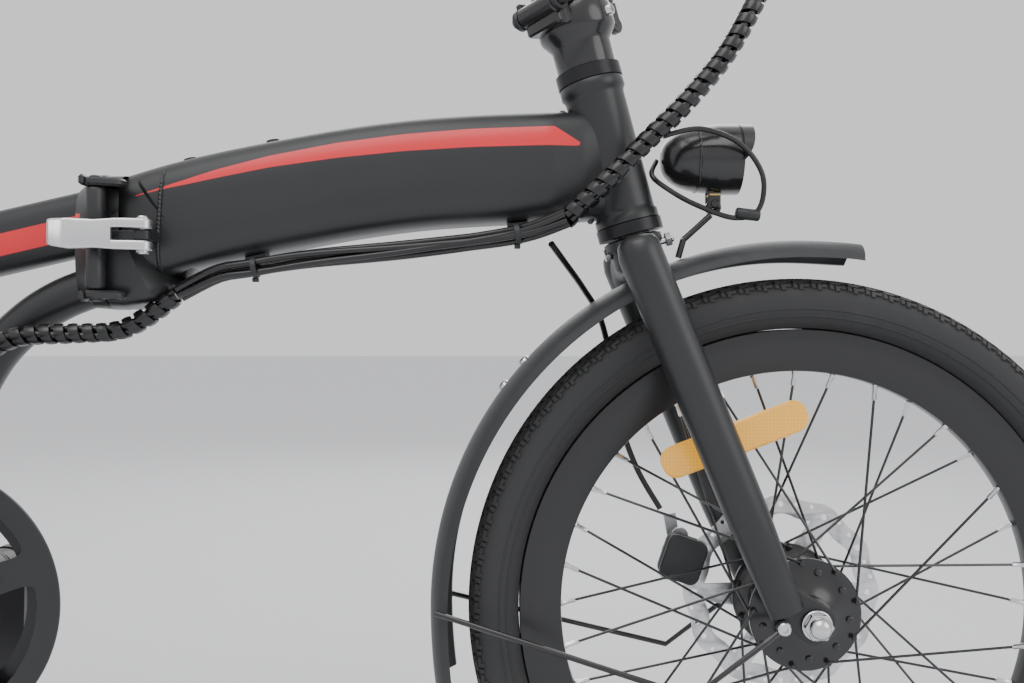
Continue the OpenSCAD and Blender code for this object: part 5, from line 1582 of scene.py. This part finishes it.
class BICYCLE_OT_rear_fender(Maker):
    """Rear fender, its stays and strap."""
    bl_idname = "bicycle.rear_fender"
    bl_label = "Rear fender"

    def build(self, scene):
        s = Shape()
        fender_shell(s, REAR_AXLE, 15, 172, 1.2, 2.4)
        s.index = 1
        for k in (-1, 1):
            s.tube(spline([(REAR_X - 8, k * 77, TYRE_R + 14), (REAR_X - 70, k * 70, TYRE_R + 18),
                           (REAR_X - 264, k * 33, TYRE_R + 55)], 8), 2.2, 12, Y)
            s.screw(REAR_AXLE + Vector((-8, k * 79, 14)), Y * k, 4.6, 2.4)
        s.block(seat(-57.2, 0, 151.2), (73, 20, 2.2), 3, 0.4, seat_dir(0, 0, 1), seat_dir(1, 0, 0))
        place("rear_fender_moulded", s.mesh("rear_fender", 35), ["Fender plastic", "Black oxide steel"], "rear_frame",
              ["rear_fender"])


# ---------- Drive ----------

def window(r0, r1, half, corner, n=6):
    """Rounded window between two radii, half an angle each side of +X."""
    spread = (-half, -half * 0.6, -half * 0.2, half * 0.2, half * 0.6, half)
    pts = [Vector((r1 * math.cos(t), r1 * math.sin(t))) for t in spread]
    pts += [Vector((r0 * math.cos(t), r0 * math.sin(t))) for t in (half * 0.5, -half * 0.5)]
    out, m = [], len(pts)
    for i, b in enumerate(pts):
        u, v = pts[i - 1] - b, pts[(i + 1) % m] - b
        if u.normalized().dot(v.normalized()) < -0.9:
            out.append(b)
            continue
        for j in range(n + 1):
            t = j / n
            out.append(b + u.normalized() * min(corner, u.length / 2) * (1 - t) ** 2
                       + v.normalized() * min(corner, v.length / 2) * t ** 2)
    return out


class BICYCLE_OT_drive(Maker):
    """Chain guard with its five windows."""
    bl_idname = "bicycle.drive"
    bl_label = "Drive"

    def build(self, scene):
        holes = []
        for k in range(5):
            a = math.radians(126 + 72 * k)
            w = window(33, 85, math.radians(29), 13)
            holes.append([(q.x * math.cos(a) - q.y * math.sin(a), q.x * math.sin(a) + q.y * math.cos(a)) for q in w])
        holes.append(circle(25.6, 0, 0, 48))
        me = plate_mesh(circle(101, 0, 0, 160), holes, 3, 0.5)
        s = Shape()
        s.take(me, Matrix.Translation((BB + Y * (CHAIN_Y - 10.5)) * MM))
        for k in range(5):
            a = math.radians(90 + 72 * k)
            s.index = 1
            s.screw(BB + Vector((math.cos(a) * 58, CHAIN_Y - 12, math.sin(a) * 58)), -Y, 4.2, 2)
            s.index = 0
        place("chain_guard_cut", s.mesh("chain_guard", 35), ["Moulded plastic", "Bright steel"], "crank",
              ["chain_guard"])


# ---------- Saddle ----------

class BICYCLE_OT_saddle(Maker):
    """Saddle: one padded cover, filled as cloth under pressure."""
    bl_idname = "bicycle.saddle"
    bl_label = "Saddle"

    def build(self, scene):
        looks = scene.saddle_looks
        o = seat(0, 0, 598)
        s = Shape()
        table = [(-122, 38, 20, 62), (-112, 58, 25, 66), (-95, 69, 28, 67), (-70, 66, 28, 66), (-40, 54, 26, 64.5),
                 (0, 38, 23, 62.5), (45, 27, 20.5, 60.5), (90, 21, 19, 59), (125, 18.5, 17.5, 57.5), (138, 13, 13, 57)]
        path, rings = [], []
        for x in range(-122, 139, 6):
            w, h, z = (lookup([(q[0], q[j]) for q in table], x) for j in (1, 2, 3))
            path.append(o + Vector((x, 0, z)))
            rings.append(oval(w, h, 48, 0.85))
        s.loft(path, rings)
        me = s.mesh("saddle", 60)
        obj = bpy.data.objects.new("saddle_cover", me)
        bpy.context.scene.collection.objects.link(obj)
        bpy.context.view_layer.objects.active = obj
        obj.select_set(True)
        mod = obj.modifiers.new("even", "REMESH")
        mod.mode, mod.voxel_size = "VOXEL", 0.005
        me = bpy.data.meshes.new_from_object(obj.evaluated_get(bpy.context.evaluated_depsgraph_get()))
        obj.modifiers.clear()
        obj.data = me
        rest = [v.co.copy() for v in me.vertices]
        low = (o.z + 50) * MM
        held = obj.vertex_groups.new(name="held")
        for v in me.vertices:
            held.add([v.index], max(0.0, min(1.0, (low - v.co.z) / 0.012 + 0.2)), "REPLACE")
        mod = obj.modifiers.new("cloth", "CLOTH")
        c = mod.settings
        c.quality = 6
        c.tension_stiffness = c.compression_stiffness = 12
        c.bending_stiffness = 0.8
        c.use_pressure = True
        c.uniform_pressure_force = 4 * (0.5 + looks.fullness)
        c.effector_weights.gravity = 0
        c.vertex_group_mass = "held"
        mod.collision_settings.use_self_collision = False
        scene.frame_start, scene.frame_end = 1, 20
        for f in range(1, 21):
            scene.frame_set(f)
        soft = bpy.data.meshes.new_from_object(obj.evaluated_get(bpy.context.evaluated_depsgraph_get()))
        obj.modifiers.clear()
        if len(soft.vertices) == len(rest):
            for v, r in zip(me.vertices, rest):
                d = soft.vertices[v.index].co - r
                if d.length > looks.swell:
                    d *= looks.swell / d.length
                v.co = r + d
        scene.frame_set(1)
        obj.vertex_groups.clear()
        mod = obj.modifiers.new("round", "SUBSURF")
        mod.levels = mod.render_levels = 1
        me = bpy.data.meshes.new_from_object(obj.evaluated_get(bpy.context.evaluated_depsgraph_get()))
        obj.modifiers.clear()
        obj.data = me
        me.name = "saddle_cover"
        for p in me.polygons:
            p.use_smooth = True
        me.materials.append(MATERIALS["Saddle cover"]())
        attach(obj, "seatpost")
        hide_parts("saddle")


# ---------- Pieces kept in their CAD shape ----------

KEPT = {
    "Gloss black metal": ["headlight_bracket", "handlebar", "left_brake_lever", "right_brake_lever",
                          "kickstand", "front_fender_stays"],
    "Black oxide steel": ["headset_cups", "bb_cartridge"],
    "Moulded plastic": ["bar_controls", "beam_fittings", "left_pedal", "right_pedal"],
    "Cast alloy": ["rear_caliper", "front_brake_arm", "rear_brake_arm", "seat_clamp", "seat_clamp_lever"],
    "Polished alloy": ["seatpost"],
    "Black alloy": ["left_crank", "right_crank"],
    "Bright steel": ["frame_hinge_pin", "rear_axle", "crank_axles", "saddle_clamp", "freewheel"],
    "Chain steel": ["chain"],
    "Grip rubber": ["grips"],
    "Battery case": ["battery_pack", "controller"],
    "Red lens": ["tail_light"],
    "Key red": ["power_button"],
}


class BICYCLE_OT_kept_pieces(Maker):
    """Finishes of the pieces that keep their CAD shape."""
    bl_idname = "bicycle.kept_pieces"
    bl_label = "Kept pieces"

    def build(self, scene):
        for matter, nodes in KEPT.items():
            for n in nodes:
                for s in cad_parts[n].material_slots:
                    s.material = MATERIALS[matter]()


class BICYCLE_OT_stage(Maker):
    """Floor, lights and camera."""
    bl_idname = "bicycle.stage"
    bl_label = "Stage"

    def build(self, scene):
        looks = scene.stage_looks
        me = bpy.data.meshes.new("floor")
        w = 30
        me.from_pydata([(-w, -w, 0), (w, -w, 0), (w, w, 0), (-w, w, 0)], [], [(0, 1, 2, 3)])
        me.materials.append(MATERIALS["Pale floor"]())
        floor = bpy.data.objects.new("floor", me)
        objs = [floor]
        for name, where, look, size, power in (
                ("key", (-0.2, -1.6, 3.0), (0.2, 0, 0.4), 2.6, looks.key_power),
                ("fill", (2.6, -1.4, 1.5), (0.3, 0, 0.4), 1.8, looks.key_power * 0.35),
                ("back", (0.4, 2.2, 2.2), (0.2, 0, 0.5), 2.4, looks.key_power * 0.7)):
            light = bpy.data.lights.new(name, "AREA")
            light.shape, light.size, light.energy = "DISK", size, power
            o = bpy.data.objects.new(name, light)
            o.location = where
            o.rotation_euler = (Vector(look) - Vector(where)).to_track_quat("-Z", "Y").to_euler()
            objs.append(o)
        for o in objs:
            scene.collection.objects.link(o)
        world = bpy.data.worlds.new("studio")
        world.use_nodes = True
        bg = world.node_tree.nodes["Background"]
        bg.inputs["Color"].default_value = (*looks.backdrop, 1)
        bg.inputs["Strength"].default_value = 1.0
        scene.world = world
        cam = bpy.data.cameras.new("camera")
        cam.lens, cam.sensor_width = looks.lens, 36.0
        cam.clip_start, cam.clip_end = 0.02, 100
        c = bpy.data.objects.new("camera", cam)
        c.location = (0.320, -0.760, 0.457)
        c.rotation_euler = (math.pi / 2, 0, 0)
        scene.collection.objects.link(c)
        scene.camera = c


class BICYCLE_PT_panel(bpy.types.Panel):
    """Sidebar panel of the add-on."""
    bl_label = "Folding bicycle"
    bl_idname = "BICYCLE_PT_panel"
    bl_space_type = "VIEW_3D"
    bl_region_type = "UI"
    bl_category = "Bicycle"

    def draw(self, context):
        scene, lay = context.scene, self.layout
        for looks in (scene.wheel_looks, scene.cable_looks, scene.saddle_looks, scene.stage_looks):
            box = lay.box()
            for key in looks.bl_rna.properties.keys():
                if key not in ("rna_type", "name"):
                    box.prop(looks, key)
        for op in PIECES + [BICYCLE_OT_stage]:
            lay.operator(op.bl_idname)


PIECES = [c for c in Maker.__subclasses__() if c is not BICYCLE_OT_stage]
LOOKS = {"wheel_looks": WheelLooks, "cable_looks": CableLooks, "saddle_looks": SaddleLooks,
         "stage_looks": StageLooks}
CLASSES = list(LOOKS.values()) + PIECES + [BICYCLE_OT_stage, BICYCLE_PT_panel]


def register():
    for c in CLASSES:
        bpy.utils.register_class(c)
    for name, c in LOOKS.items():
        setattr(bpy.types.Scene, name, bpy.props.PointerProperty(type=c))


def unregister():
    for name in LOOKS:
        delattr(bpy.types.Scene, name)
    for c in reversed(CLASSES):
        bpy.utils.unregister_class(c)


def main():
    register()
    for op in PIECES + [BICYCLE_OT_stage]:
        family, name = op.bl_idname.split(".")
        getattr(getattr(bpy.ops, family), name)()


if __name__ == "__main__":
    main()
